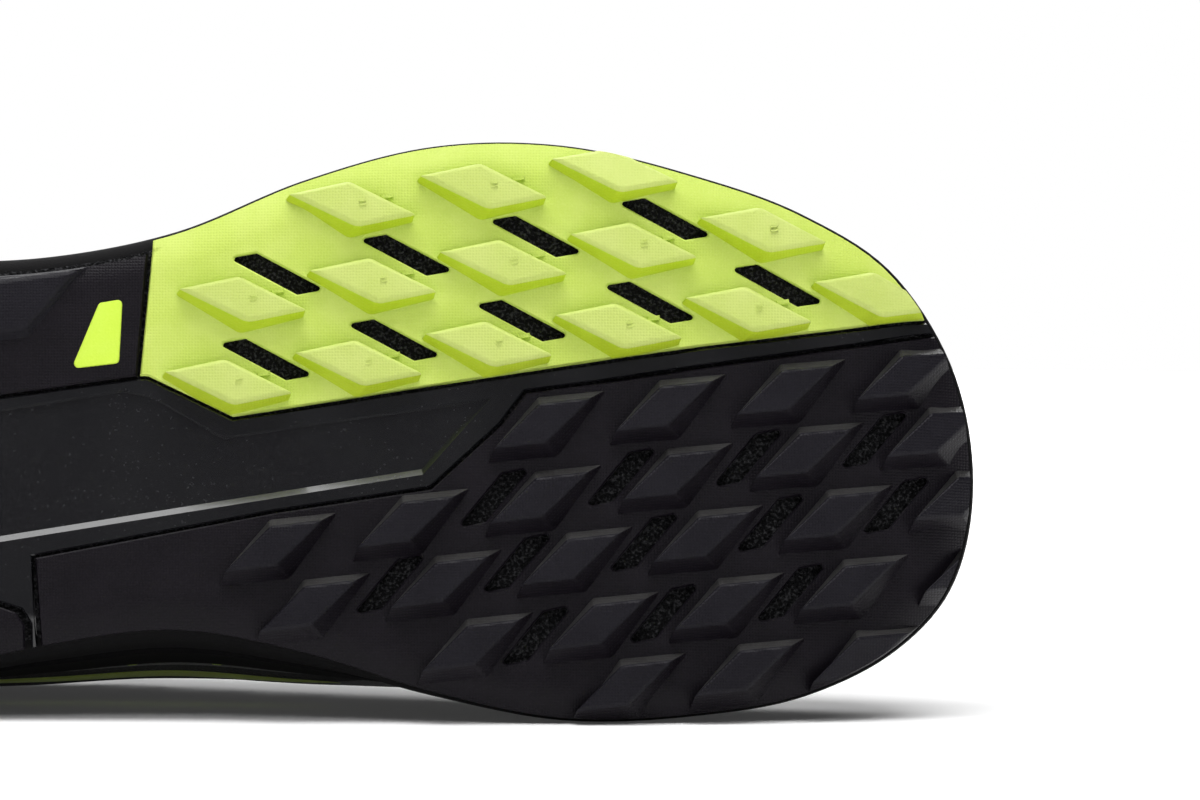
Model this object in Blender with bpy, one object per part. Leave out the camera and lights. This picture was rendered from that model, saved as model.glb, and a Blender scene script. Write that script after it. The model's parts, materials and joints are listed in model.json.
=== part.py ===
# Right trail running shoe, lying on its medial side.
# The shoe is drawn as it is worn: x from heel to toe, y to the medial side, z up from the lug tips.
# An empty then lays it on its side, on the sole's edge at ball and heel and on the upper.

import math
from collections import namedtuple

import bmesh
import bpy
import numpy as np
from mathutils import Matrix, Vector

MM = 0.001
PERCENT = 0.01

# Driving sizes
LENGTH = 300 * MM
BALL_WIDTH = 112 * MM
HEEL_STACK = 40 * MM
HEEL_HEIGHT = 110 * MM
INSTEP_HEIGHT = 108 * MM

# Sole
TOE_SPRING = 20 * MM
SPRING_START = 198 * MM
HEEL_RISE = 6 * MM
HEEL_RISE_END = 34 * MM
RIM_WIDTH = 6.5 * MM
RIM_ROLL = 2.6 * MM
RUBBER = 2 * MM
LUG_HEIGHT = 3.6 * MM
FRAME_RECESS = 0.7 * MM
PANE_RECESS = 0.9 * MM
PANE_BEVEL = 1.8 * MM
BLOCK_INSET = 2.6 * MM
SEAM = 0.6 * MM
GAP = 0.3 * MM

# Upper
WALL = 2.4 * MM
COLLAR_PAD = 6.5 * MM
LEDGE = 2.2 * MM
BASE_WALL = 3 * MM
DISH = 4 * MM
DISH_WIDTH = 9 * MM
INSOLE = 4 * MM
TONGUE = 4.5 * MM
TONGUE_RISE = 18 * MM
TONGUE_UNDER = 12 * MM
TONGUE_CROWN = 0.1  # how far it arches, as a share of the throat's width
TONGUE_TIP = 0.74  # its free end's width, as a share of the width at the top eyelets
LACE_WIDTH = 5.5 * MM
LACE_THICKNESS = 1.6 * MM
EDGE_REACH = LENGTH / 3  # how far apart the points of the sole's edge lie that it rests on, at least
LOOP_SPAN = (0.62, 0.93)  # where up the heel's rib the loop starts and ends
LOOP_WIDTH = 11 * MM
LOOP_THICKNESS = 1.6 * MM
LOOP_REACH = 9 * MM

RING_COUNT = 72  # points round the sole

# Sections from heel to toe. Along is in hundredths of the length, lateral and medial in hundredths of
# the ball width, the flare of the foam's top too, and the stack in hundredths of the heel's.
Sole = namedtuple("Sole", "along lateral medial flare_lateral flare_medial stack")
SOLE = [
    Sole(0.0, 0.0, 0.0, 1.0, 1.0, 103),
    Sole(1.7, 17.9, 17.9, 1.0, -1.0, 103),
    Sole(5.7, 30.8, 31.2, 1.0, -3.4, 102),
    Sole(12.7, 38.8, 39.2, 0.8, -5.4, 100),
    Sole(22.0, 39.7, 38.4, 0.8, -4.4, 98),
    Sole(31.7, 38.6, 32.8, 1.4, -0.2, 97),
    Sole(40.0, 39.3, 27.7, 1.8, 3.2, 94),
    Sole(48.3, 43.7, 25.0, 1.4, 4.4, 88),
    Sole(56.7, 52.9, 28.9, 0.6, 2.6, 81),
    Sole(65.0, 58.8, 35.7, 0.0, -2.0, 73),
    Sole(73.3, 59.1, 40.2, -0.4, -3.8, 66),
    Sole(81.7, 54.3, 39.4, -0.4, -3.6, 60),
    Sole(89.0, 47.7, 35.6, -0.4, -2.8, 55),
    Sole(94.7, 38.3, 27.8, -0.4, -2.0, 51),
    Sole(98.3, 24.2, 17.4, -0.4, -1.0, 48),
    Sole(100.0, 2.4, 2.4, -0.4, -0.4, 47),
]

# The upper's ribs, one for each section of the sole. A rib leaves the foam, bulges, and ends on the
# lip of the collar or throat. The lip and the handle below it are in hundredths: along of the length,
# across of the ball width, tall of the named height. Bulge and rise are in hundredths of the width.
Rib = namedtuple(
    "Rib", "along across tall down_along down_across down_tall bulge_lateral bulge_medial rise pad"
)
COLLAR = [
    Rib(3.0, 0.0, 102, 2.4, 0.0, 24, 4.0, 4.0, 22, 1.0),
    Rib(3.4, 8.4, 101, 2.0, 1.4, 24, 4.0, 3.4, 22, 1.0),
    Rib(5.8, 18.8, 97.5, 1.3, 2.6, 23, 4.0, 2.0, 22, 1.0),
    Rib(12.0, 26.6, 89, 0.3, 2.8, 21, 3.2, 0.4, 20, 1.0),
    Rib(20.6, 28.6, 83, 0.0, 3.0, 19, 3.0, 0.2, 19, 1.0),
    Rib(28.8, 28.2, 87, 0.2, 4.8, 19, 2.6, 1.2, 18, 1.0),
    Rib(35.0, 24.4, 96, 0.6, 9.6, 18, 2.6, 3.0, 18, 0.9),
]
THROAT = [
    Rib(40.2, 18.6, 101, 1.0, 15.6, 14, 3.2, 4.0, 18, 0.4),
    Rib(47.0, 15.2, 95, 1.7, 19.0, 12, 4.0, 3.6, 18, 0.0),
    Rib(54.4, 13.6, 86.5, 2.6, 21.0, 9, 4.2, 2.0, 17, 0.0),
    Rib(60.8, 12.0, 78.5, 4.6, 21.4, 7, 4.4, 1.2, 17, 0.0),
    Rib(65.4, 9.8, 72.5, 8.0, 18.8, 6, 4.4, 1.2, 17, 0.0),
    Rib(68.0, 7.2, 69, 11.4, 13.4, 6, 4.4, 2.2, 17, 0.0),
    Rib(69.2, 4.6, 67.5, 13.4, 8.0, 6, 4.6, 3.2, 17, 0.0),
    Rib(69.8, 2.2, 66.8, 14.4, 3.6, 6, 5.0, 4.2, 17, 0.0),
    Rib(70.0, 0.0, 66.6, 14.7, 0.0, 6, 5.0, 5.0, 17, 0.0),
]
RIDGE_OFFSET = -3.5  # the throat's middle line, in hundredths of the width, reached at the instep
RIDGE_START = 25  # and where along it leaves the middle of the heel

# Lugs and slots stand in slanted rows: first tip, step to the next one, both in hundredths of the
# length along and of the ball width across.
TreadRow = namedtuple("TreadRow", "along across step_along step_across count")
LATERAL_LUGS = [
    TreadRow(55.8, -50.3, 8.50, -3.1, 3),
    TreadRow(48.8, -33.8, 8.42, -3.2, 5),
    TreadRow(47.9, -19.4, 8.40, -3.3, 6),
]
LATERAL_SLOTS = [
    TreadRow(51.8, -39.3, 8.37, -3.3, 4),
    TreadRow(51.1, -24.4, 8.28, -3.4, 5),
]
MEDIAL_LUGS = [
    TreadRow(69.0, -6.1, 7.85, -3.2, 4),
    TreadRow(51.7, 15.2, 8.55, -4.2, 6),
    TreadRow(53.9, 25.6, 8.47, -4.1, 6),
    TreadRow(64.4, 32.4, 8.13, -3.7, 5),
    TreadRow(74.3, 39.2, 7.66, -2.8, 3),
]
MEDIAL_SLOTS = [
    TreadRow(66.6, 7.6, 8.23, -3.7, 4),
    TreadRow(59.9, 22.6, 8.20, -3.7, 5),
    TreadRow(69.3, 31.5, 8.25, -4.0, 3),
]
HEEL_LATERAL_LUGS = [
    TreadRow(21.4, -33.5, -8.5, 0.0, 2),
    TreadRow(19.6, -18.6, -8.5, 0.0, 2),
    TreadRow(17.8, -4.0, -8.5, 0.0, 2),
]
HEEL_MEDIAL_LUGS = [
    TreadRow(18.6, 19.0, -8.5, -0.4, 2),
    TreadRow(29.5, 32.0, -8.5, 0.6, 3),
]

# One lug's or slot's face, a slanted box: its two sides, in hundredths of the length along and of the
# ball width across. Drafts tell how far each corner of a lug's foot lies from the corner above it.
Face = namedtuple("Face", "first second drafts")
LATERAL_LUG = Face((3.8, -1.52), (4.13, 5.71),
                   ((-0.6, 0.45), (-0.03, -0.8), (0.47, 2.14), (-0.47, 3.39)))
LATERAL_SLOT = Face((1.83, -0.98), (4.27, 6.07), None)
MEDIAL_LUG = Face((2.93, -7.5), (3.27, -1.07),
                  ((-0.47, 2.5), (-0.1, -1.52), (1, -1.7), (0.8, 2.32)))
MEDIAL_SLOT = Face((1.87, -1.07), (2.9, -9.46), None)
HEEL_LATERAL_LUG = Face((-3.8, -1.16), (-4, 5.89),
                        ((0.6, 0.45), (0.03, -0.8), (-0.47, 2.14), (0.47, 3.39)))
HEEL_MEDIAL_LUG = Face((-2.93, -7.14), (-3.27, 0.89),
                       ((0.47, 2.5), (0.1, -1.52), (-1, -1.52), (-0.8, 2.32)))
SLOT_CORNER = 0.7 * MM
LUG_ROOT = 0.5 * MM

# The seams between the plates of the sole, in hundredths of the length and of the ball width
LATERAL_SEAM = [(46.9, -62), (46.75, -41), (46.0, -18.6), (46.6, -18.6), (52.1, -11.5), (82.3, -24.1),
                (91.3, -27.6), (99.0, -31.0), (104, -33)]
MEDIAL_SEAM = [(39.9, 36), (39.3, 12.6), (54.8, 4.8), (64.9, 0.7), (69.4, -10.4), (71.0, -16.1),
               (75.8, -17.9), (84.8, -21.8), (92.6, -25.2), (98.0, -27.9), (104, -30.5)]
BLOCK_SEAM = [(46.0, -18.6), (37.1, -15.3), (24.8, -10.2), (23.6, -13), (23.6, -50)]
HEEL_SEAM = [(23.0, -50), (23.0, -11.6), (20.2, -6.4), (20.2, 7.6), (22.8, 14.6), (37.0, 20.9),
             (38.2, 22.0), (38.8, 24.2), (38.8, 40)]
PANE = [(24.4, -7.0), (37.1, -13.1), (45.0, -16.5), (46.9, -15.4), (51.5, -8.3), (59.1, -11.3),
        (68.8, -15.0), (64.4, -2.1), (37.1, 8.3), (23.8, 13.0), (21.8, 6.4), (21.8, -3.4)]
BLOCK_LUG = [(37.0, -35), (41.6, -36.6), (38.6, -27.0), (32.0, -24.8), (32.0, -33.2)]

# The foam's wall from the rubber to its top edge: how far up, how far out in millimetres
WallRow = namedtuple("WallRow", "up out")
FOAM_WALL = [
    WallRow(0.00, -0.8),
    WallRow(0.10, 0.0),
    WallRow(0.42, 0.5),
    WallRow(0.46, -0.4),
    WallRow(0.53, -0.4),
    WallRow(0.57, 0.4),
    WallRow(0.92, 0.0),
    WallRow(1.00, -1.0),
]

EYELETS = 6
EYELET_SECTIONS = (7.15, 10.9)  # the top and bottom pair of eyelets, counted in sections
EYELET_DEPTH = 0.88  # how far up its rib an eyelet lies
TONGUE_SECTIONS = (7.0, 11.6)
TONGUE_DEPTH = 0.80

# Colours as linear red, green and blue, then roughness and metallic
FINISHES = {
    "lime_rubber": (0.52, 0.83, 0.03, 0.55, 0.0),
    "black_rubber": (0.012, 0.012, 0.014, 0.6, 0.0),
    "smoke_gloss": (0.02, 0.022, 0.026, 0.2, 0.0),
    "black_foam": (0.018, 0.018, 0.02, 0.85, 0.0),
    "black_mesh": (0.015, 0.015, 0.017, 0.9, 0.0),
    "black_lining": (0.02, 0.02, 0.022, 0.95, 0.0),
    "black_lace": (0.03, 0.03, 0.033, 0.9, 0.0),
}


def spline(knots, values, at):
    """A smooth closed curve through values at knots; the last knot is the first one again."""
    count = len(values)
    steps = np.diff(knots)
    before = np.roll(steps, 1)
    rise = (np.roll(values, -1, axis=0) - values) / steps[:, None]
    slopes = (rise * before[:, None] + np.roll(rise, 1, axis=0) * steps[:, None]) / (steps + before)[:, None]
    at = np.mod(at, knots[-1])
    k = np.clip(np.searchsorted(knots, at, side="right") - 1, 0, count - 1)
    h = steps[k][..., None]
    u = ((at - knots[k]) / steps[k])[..., None]
    following = (k + 1) % count
    return (
        (2 * u**3 - 3 * u**2 + 1) * values[k]
        + (u**3 - 2 * u**2 + u) * h * slopes[k]
        + (3 * u**2 - 2 * u**3) * values[following]
        + (u**3 - u**2) * h * slopes[following]
    )


def ridge(along):
    return RIDGE_OFFSET * min(max((along - RIDGE_START) / RIDGE_START, 0), 1)


def section_values(k, side):
    """One section's values on one side: lateral is -1, medial +1."""
    sole = SOLE[k]
    rib = (COLLAR + THROAT)[k]
    height = HEEL_HEIGHT if k < len(COLLAR) else INSTEP_HEIGHT
    half = sole.lateral if side < 0 else sole.medial
    flare = sole.flare_lateral if side < 0 else sole.flare_medial
    bulge = rib.bulge_lateral if side < 0 else rib.bulge_medial
    lip_y = ridge(rib.along) + side * rib.across
    tip = -sole.lateral if k == len(SOLE) - 1 else side * half
    return PERCENT * np.array([
        sole.along * LENGTH, tip * BALL_WIDTH, flare * BALL_WIDTH, sole.stack * HEEL_STACK,
        rib.along * LENGTH, lip_y * BALL_WIDTH, rib.tall * height,
        rib.down_along * LENGTH, side * rib.down_across * BALL_WIDTH, -rib.down_tall * height,
        bulge * BALL_WIDTH, rib.rise * BALL_WIDTH, rib.pad / PERCENT,
    ])


def section_loop():
    """All sections as one closed loop: heel back, lateral side, toe, medial side."""
    lateral = [section_values(k, -1) for k in range(len(SOLE))]
    medial = [section_values(k, 1) for k in range(len(SOLE))]
    steps = [
        (math.dist(lateral[k][:2], lateral[k + 1][:2]) + math.dist(medial[k][:2], medial[k + 1][:2])) / 2
        for k in range(len(SOLE) - 1)
    ]
    knots = np.concatenate([[0], np.cumsum(steps + steps[::-1])])
    return knots / knots[-1], np.array(lateral + medial[-2:0:-1])


KNOTS, SECTIONS = section_loop()
Last = namedtuple("Last", "foot out flare stack lip down bulge rise pad")


def last_at(t):
    """The sections' values at t, which runs from 0 at the heel's back through 0.5 at the toe to 1."""
    values = spline(KNOTS, SECTIONS, t)
    step = 0.002
    run = spline(KNOTS, SECTIONS, t + step)[..., :2] - spline(KNOTS, SECTIONS, t - step)[..., :2]
    run /= np.linalg.norm(run, axis=-1, keepdims=True)
    out = np.stack([run[..., 1], -run[..., 0]], axis=-1)
    return Last(
        values[..., 0:2], out, values[..., 2], values[..., 3], values[..., 4:7], values[..., 7:10],
        values[..., 10], values[..., 11], values[..., 12],
    )


TURN = np.arange(RING_COUNT) / RING_COUNT
RING = last_at(TURN)


def outline(offset=0.0):
    """The sole's outline in plan, moved outwards by offset."""
    return RING.foot + RING.out * offset


def spring(x):
    """How far the sole is lifted at the toe and at the back of the heel."""
    toe = np.maximum(x - SPRING_START, 0) / (LENGTH - SPRING_START)
    heel = np.maximum(HEEL_RISE_END - x, 0) / HEEL_RISE_END
    return TOE_SPRING * toe**2.2 + HEEL_RISE * heel**2


def inside_by(points):
    """Each point's distance to the sole's outline."""
    start = outline()
    edge = np.roll(start, -1, axis=0) - start
    offset = points[:, None, :] - start[None]
    share = np.clip((offset * edge).sum(-1) / (edge * edge).sum(-1), 0, 1)
    return np.linalg.norm(offset - share[..., None] * edge, axis=-1).min(axis=1)


def bend(x, y):
    """The lift of the flat tread at a point: toe spring, heel rise and the roll of the rim."""
    rim = np.clip(1 - inside_by(np.stack([x, y], axis=1)) / RIM_WIDTH, 0, 1)
    return spring(x) + RIM_ROLL * rim**2


def plan(points):
    """A plan outline from hundredths of the length and of the ball width."""
    return [Vector((x * PERCENT * LENGTH, y * PERCENT * BALL_WIDTH)) for x, y in points]


def grown(corners, distances):
    """A polygon with each side moved outwards by its distance."""
    count = len(corners)
    area = sum(corners[i - 1].x * corners[i].y - corners[i].x * corners[i - 1].y for i in range(count))
    turn = 1 if area > 0 else -1
    lines = []
    for i in range(count):
        run = (corners[(i + 1) % count] - corners[i]).normalized()
        normal = Vector((run.y, -run.x)) * turn
        lines.append((corners[i] + normal * distances[i], run))
    moved = []
    for i in range(count):
        point, run = lines[i]
        other, other_run = lines[i - 1]
        turned = run.cross(other_run)
        if abs(turned) < 1e-3:
            moved.append(point)
        else:
            moved.append(point + run * ((other - point).cross(other_run) / turned))
    return moved


def mesh_object(name, vertices, faces):
    mesh = bpy.data.meshes.new(name)
    mesh.from_pydata([tuple(v) for v in vertices], [], faces)
    mesh.update()
    made = bpy.data.objects.new(name, mesh)
    bpy.context.collection.objects.link(made)
    return made


def loft(name, rings, capped):
    """Rings of points joined in order. Capped, its ends are closed by a ladder; else last meets first."""
    count = len(rings[0])
    vertices = np.concatenate(rings)
    faces = []
    pairs = len(rings) - 1 if capped else len(rings)
    for r in range(pairs):
        a = r * count
        b = (r + 1) % len(rings) * count
        for i in range(count):
            j = (i + 1) % count
            faces.append((a + i, a + j, b + j, b + i))
    if capped:
        last = (len(rings) - 1) * count
        half = count // 2
        for i in range(half):
            across, before = (count - i) % count, count - i - 1
            ladder = [i, i + 1, before, across]
            ladder = [v for k, v in enumerate(ladder) if v not in ladder[:k]]
            faces.append(tuple(reversed(ladder)))
            faces.append(tuple(last + v for v in ladder))
    return mesh_object(name, vertices, faces)


def prism(name, corners, low, high, base=None):
    """A plan polygon drawn up from low to high; base gives other corners at its high end."""
    base = base or corners
    count = len(corners)
    vertices = [(p.x, p.y, low) for p in corners] + [(p.x, p.y, high) for p in base]
    faces = [tuple(range(count))[::-1], tuple(range(count, 2 * count))]
    faces += [(i, (i + 1) % count, count + (i + 1) % count, count + i) for i in range(count)]
    made = mesh_object(name, vertices, faces)
    tidy(made)
    return made


def tidy(made):
    """Faces turned outwards."""
    work = bmesh.new()
    work.from_mesh(made.data)
    bmesh.ops.recalc_face_normals(work, faces=work.faces)
    work.to_mesh(made.data)
    work.free()


def joined(name, pieces):
    """Several meshes as one object, still separate bodies."""
    work = bmesh.new()
    for piece in pieces:
        work.from_mesh(piece.data)
        bpy.data.objects.remove(piece)
    mesh = bpy.data.meshes.new(name)
    work.to_mesh(mesh)
    work.free()
    made = bpy.data.objects.new(name, mesh)
    bpy.context.collection.objects.link(made)
    return made


def combine(target, operation, tool):
    """A Boolean of target with tool, applied; the tool goes."""
    modifier = target.modifiers.new(operation.lower(), "BOOLEAN")
    modifier.operation = operation
    modifier.object = tool
    modifier.solver = "EXACT"
    modifier.use_self = True
    bpy.context.view_layer.update()
    whole = bpy.data.meshes.new_from_object(target.evaluated_get(bpy.context.evaluated_depsgraph_get()))
    target.modifiers.clear()
    target.data = whole
    bpy.data.objects.remove(tool)
    return target


def slab(name, low, high, inset=0.0):
    """The whole flat sheet of the sole, with the rings that let its rim roll."""
    insets = [RIM_WIDTH, RIM_WIDTH / 2, inset]
    flats = [outline(-depth) for depth in insets]
    rings = [np.column_stack([flat, np.full(RING_COUNT, low)]) for flat in flats]
    rings += [np.column_stack([flat, np.full(RING_COUNT, high)]) for flat in reversed(flats)]
    return loft(name, rings, capped=True)


def repeated(rows, face):
    """The corners of each lug or slot of some rows."""
    first, second = plan([face.first, face.second])
    for row in rows:
        for i in range(row.count):
            x = (row.along + i * row.step_along) * PERCENT * LENGTH
            y = (row.across + i * row.step_across) * PERCENT * BALL_WIDTH
            start = Vector((x, y))
            yield [start, start + first, start + first + second, start + second]


def lugs(rows, face):
    """Lugs with drafted sides, cut off at the sole's outline."""
    root = LUG_HEIGHT + LUG_ROOT
    drafts = [draft * root / LUG_HEIGHT for draft in plan(face.drafts)]
    made = []
    for corners in repeated(rows, face):
        foot = [corner + draft for corner, draft in zip(corners, drafts)]
        made.append(prism("lug", corners, 0, root, foot))
    return joined("lugs", made)


def slots(rows, face):
    """Slots right through the sheet, with small round corners."""
    made = []
    for corners in repeated(rows, face):
        points = []
        for i in range(len(corners)):
            back = (corners[i - 1] - corners[i]).normalized() * SLOT_CORNER
            ahead = (corners[(i + 1) % len(corners)] - corners[i]).normalized() * SLOT_CORNER
            points += [corners[i] + back, corners[i] + (back + ahead) * 0.3, corners[i] + ahead]
        made.append(prism("slot", points, 0, LUG_HEIGHT + 2 * RUBBER))
    return joined("slots", made)


def within_outline(tool, inset=0.0):
    """A tool's part inside the sole's outline."""
    flat = outline(-inset)
    rings = [np.column_stack([flat, np.full(RING_COUNT, z)]) for z in (-LUG_HEIGHT, 2 * LUG_HEIGHT)]
    return combine(tool, "INTERSECT", loft("outline", rings, capped=True))


def bent(made):
    """The flat piece bent to the toe spring, heel rise and rim."""
    work = bmesh.new()
    work.from_mesh(made.data)
    bmesh.ops.remove_doubles(work, verts=work.verts, dist=0.005 * MM)
    bmesh.ops.triangulate(work, faces=work.faces)
    flat = np.array([v.co for v in work.verts])
    lift = bend(flat[:, 0], flat[:, 1])
    for vertex, height in zip(work.verts, lift):
        vertex.co.z += height
    work.to_mesh(made.data)
    work.free()
    return made


def plate(name, polygon, lug_rows, slot_rows, inset=0.0):
    """One rubber plate: the sheet inside a plan polygon, less its slots, with its lugs."""
    sheet = slab(name, LUG_HEIGHT, LUG_HEIGHT + RUBBER, inset)
    combine(sheet, "INTERSECT", prism("plan", polygon, 0, 4 * LUG_HEIGHT))
    for rows, face in slot_rows:
        combine(sheet, "DIFFERENCE", slots(rows, face))
    for rows, face in lug_rows:
        raised = within_outline(lugs(rows, face), inset)
        combine(raised, "INTERSECT", prism("plan", polygon, -LUG_HEIGHT, 4 * LUG_HEIGHT))
        combine(sheet, "UNION", raised)
    return bent(sheet)


def seam_side(seam, closing):
    """A plate's polygon: its seam, drawn back by half the seam's gap, closed outside the sole."""
    corners = plan(seam + closing)
    distances = [-SEAM / 2] * (len(seam) - 1) + [0.0] * (len(closing) + 1)
    return grown(corners, distances)


def lateral_forefoot():
    outside = [(104, -80), (46.9, -80)]
    return plate(
        "outsole_lateral_forefoot", seam_side(LATERAL_SEAM, outside),
        [(LATERAL_LUGS, LATERAL_LUG)], [(LATERAL_SLOTS, LATERAL_SLOT)],
    )


def medial_forefoot():
    outside = [(106, 60), (39.9, 60)]
    return plate(
        "outsole_medial_forefoot", seam_side(MEDIAL_SEAM, outside),
        [(MEDIAL_LUGS, MEDIAL_LUG)], [(MEDIAL_SLOTS, MEDIAL_SLOT)],
    )


def lateral_midfoot():
    """The block beside the arch, with one raised slanted form."""
    corners = grown(plan(BLOCK_SEAM + [(46.5, -62), (46.3, -41)]), [-SEAM / 2] * 4 + [0.0, -SEAM, -SEAM])
    sheet = slab("outsole_lateral_midfoot", LUG_HEIGHT, LUG_HEIGHT + RUBBER, BLOCK_INSET)
    combine(sheet, "INTERSECT", prism("plan", corners, 0, 4 * LUG_HEIGHT))
    face = plan(BLOCK_LUG)
    root = LUG_HEIGHT + LUG_ROOT
    form = prism("form", face, LUG_HEIGHT / 2, root, grown(face, [2.2 * MM] * len(face)))
    combine(sheet, "UNION", within_outline(form, BLOCK_INSET))
    return bent(sheet)


def heel():
    outside = [(38.8, 80), (-10, 80), (-10, -80), (23.0, -80)]
    rows = [(HEEL_LATERAL_LUGS, HEEL_LATERAL_LUG), (HEEL_MEDIAL_LUGS, HEEL_MEDIAL_LUG)]
    return plate("outsole_heel", seam_side(HEEL_SEAM, outside), rows, [])


def window():
    """The glossy frame between the rubber plates, with a bevelled pane sunk in it."""
    lateral = [(24.4, -10.4)] + BLOCK_SEAM[1::-1] + LATERAL_SEAM[3:-1]
    medial = MEDIAL_SEAM[-2:0:-1]
    back = [(39.2, 20.4), (37.0, 20.9), (22.8, 14.6), (20.2, 7.6), (20.2, -6.4), (23.0, -11.6)]
    corners = plan(lateral + medial + back)
    sheet = slab("midfoot_window", LUG_HEIGHT + FRAME_RECESS, LUG_HEIGHT + RUBBER)
    border = grown(corners, [-SEAM / 2] * len(corners))
    combine(sheet, "INTERSECT", prism("plan", border, 0, 4 * LUG_HEIGHT))
    pane = plan(PANE)
    floor = LUG_HEIGHT + FRAME_RECESS + PANE_RECESS
    mouth = LUG_HEIGHT + FRAME_RECESS - PANE_RECESS
    inner = grown(pane, [-PANE_BEVEL] * len(pane))
    outer = grown(pane, [PANE_BEVEL] * len(pane))
    combine(sheet, "DIFFERENCE", prism("pane", outer, mouth, floor, inner))
    return bent(sheet)


def foam_bottom(flat):
    return LUG_HEIGHT + RUBBER + GAP + bend(flat[:, 0], flat[:, 1])


def foam_edge(flat):
    """Height of the foam's top edge."""
    return RING.stack + spring(flat[:, 0])


def top_outline(inset):
    """A ring on the foam's top, inset from its top edge."""
    return outline() + RING.out * (RING.flare - inset)[:, None]


def bed(inset, above):
    """A ring of the foot bed: level with the edge at first, then dished."""
    flat = top_outline(inset)
    depth = min(max((inset - LEDGE - BASE_WALL) / DISH_WIDTH, 0), 1)
    dish = DISH * depth * (2 - depth)
    return np.column_stack([flat, foam_edge(flat) - dish + above])


def midsole():
    rings = []
    for inset in (RIM_WIDTH, RIM_WIDTH / 2):
        flat = outline(-inset)
        rings.append(np.column_stack([flat, foam_bottom(flat)]))
    low = outline(FOAM_WALL[0].out * MM)
    low_height = foam_bottom(low)
    for row in FOAM_WALL:
        flat = outline() + RING.out * (RING.flare * row.up + row.out * MM)[:, None]
        height = low_height + row.up * (foam_edge(flat) - low_height)
        rings.append(np.column_stack([flat, height]))
    shelf = LEDGE + BASE_WALL + GAP
    rings += [bed(LEDGE - GAP, 0), bed(shelf, 0), bed(shelf + DISH_WIDTH / 2, 0), bed(shelf + DISH_WIDTH, 0)]
    return loft("midsole", rings, capped=True)


def insole():
    """The loose sock: it lies in the dish, inside the upper's foot."""
    edge = LEDGE + BASE_WALL + 4 * GAP
    dish = (edge, edge + DISH_WIDTH / 2, edge + DISH_WIDTH)
    rings = [bed(inset, GAP) for inset in reversed(dish)]
    rings += [bed(inset, INSOLE) for inset in dish]
    return loft("insole", rings, capped=True)


def shell(t, v):
    """The upper's outer surface: t around the foot, v from the foam to the lip."""
    at = last_at(t)
    plan_foot = at.foot + at.out * (at.flare - LEDGE)[..., None]
    height = at.stack + GAP + spring(plan_foot[..., 0])
    foot = np.concatenate([plan_foot, height[..., None]], axis=-1)
    bulge = np.concatenate([at.out * at.bulge[..., None], at.rise[..., None]], axis=-1)
    lip = at.lip
    v = np.asarray(v)[..., None]
    return (
        (1 - v) ** 3 * foot + 3 * v * (1 - v) ** 2 * (foot + bulge)
        + 3 * v**2 * (1 - v) * (lip + at.down) + v**3 * lip
    )


def shell_normal(t, v):
    step = 0.004
    around = shell(t + step, v) - shell(t - step, v)
    up = shell(t, np.minimum(v + step, 1.0)) - shell(t, np.maximum(v - step, 0.0))
    normal = np.cross(around, up)
    return normal / np.linalg.norm(normal, axis=-1, keepdims=True)


def wall(t, v):
    """The upper's thickness: foot edge, wall, and the padded collar."""
    pad = np.clip(last_at(t).pad, 0, 1) * np.clip((v - 0.5) / 0.35, 0, 1)
    foot = np.clip(1 - v / 0.12, 0, 1)
    return WALL + (COLLAR_PAD - WALL) * pad + (BASE_WALL - WALL) * foot


def inner(t, v):
    """The upper's inner surface."""
    return shell(t, v) - shell_normal(t, v) * wall(t, v)[..., None]


# The rings of the upper's outer and inner surface, as shares of the way from foam to lip
UP_STEPS = (0.0, 0.07, 0.16, 0.27, 0.39, 0.51, 0.63, 0.75, 0.86, 0.94, 1.0)
DOWN_STEPS = (1.0, 0.9, 0.76, 0.6, 0.44, 0.28, 0.13, 0.0)


def upper():
    """One hollow shell, open at the collar and throat and underneath."""
    rings = [shell(TURN, np.full(RING_COUNT, v)) for v in UP_STEPS]
    lip = np.ones(RING_COUNT)
    rim = (shell(TURN, lip) + inner(TURN, lip)) / 2
    rim[:, 2] += wall(TURN, lip) * 0.3
    rings.append(rim)
    rings += [inner(TURN, np.full(RING_COUNT, v)) for v in DOWN_STEPS]
    rings[-1][:, 2] = rings[0][:, 2]
    made = loft("upper", rings, capped=False)
    tidy(made)
    return made


def section_turn(section):
    """Where a section lies on the way round, on the lateral side."""
    return float(np.interp(section, np.arange(len(SOLE)), KNOTS[:len(SOLE)]))


def over_throat(t, across, off, depth):
    """A point over the throat at t, across from -1 lateral to 1 medial, off from the shell's skin."""
    sides = []
    for v in (depth, 1.0):
        for turn in (t, 1 - t):
            turned = np.array([turn])
            level = np.array([v])
            sides.append((shell(turned, level) + shell_normal(turned, level) * off)[0])
    low_lateral, low_medial, lip_lateral, lip_medial = sides
    ahead = (last_at(np.array([t + 0.02])).lip - last_at(np.array([t - 0.02])).lip)[0]
    crown = np.cross(ahead, lip_medial - lip_lateral)
    crown /= np.linalg.norm(crown)
    throat = np.linalg.norm(lip_medial - lip_lateral)
    middle = (lip_lateral + lip_medial) / 2 + crown * throat * TONGUE_CROWN
    points = [low_lateral, lip_lateral, middle, lip_medial, low_medial]
    place = (across + 1) * 2
    k = min(int(place), 3)
    u = place - k
    a, b = points[k], points[k + 1]
    before = points[k - 1] if k else 2 * a - b
    after = points[k + 2] if k < 3 else 2 * b - a
    return (
        (2 * u**3 - 3 * u**2 + 1) * a + (u**3 - 2 * u**2 + u) * (b - before) / 2
        + (3 * u**2 - 2 * u**3) * b + (u**3 - u**2) * (after - a) / 2
    )


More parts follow.
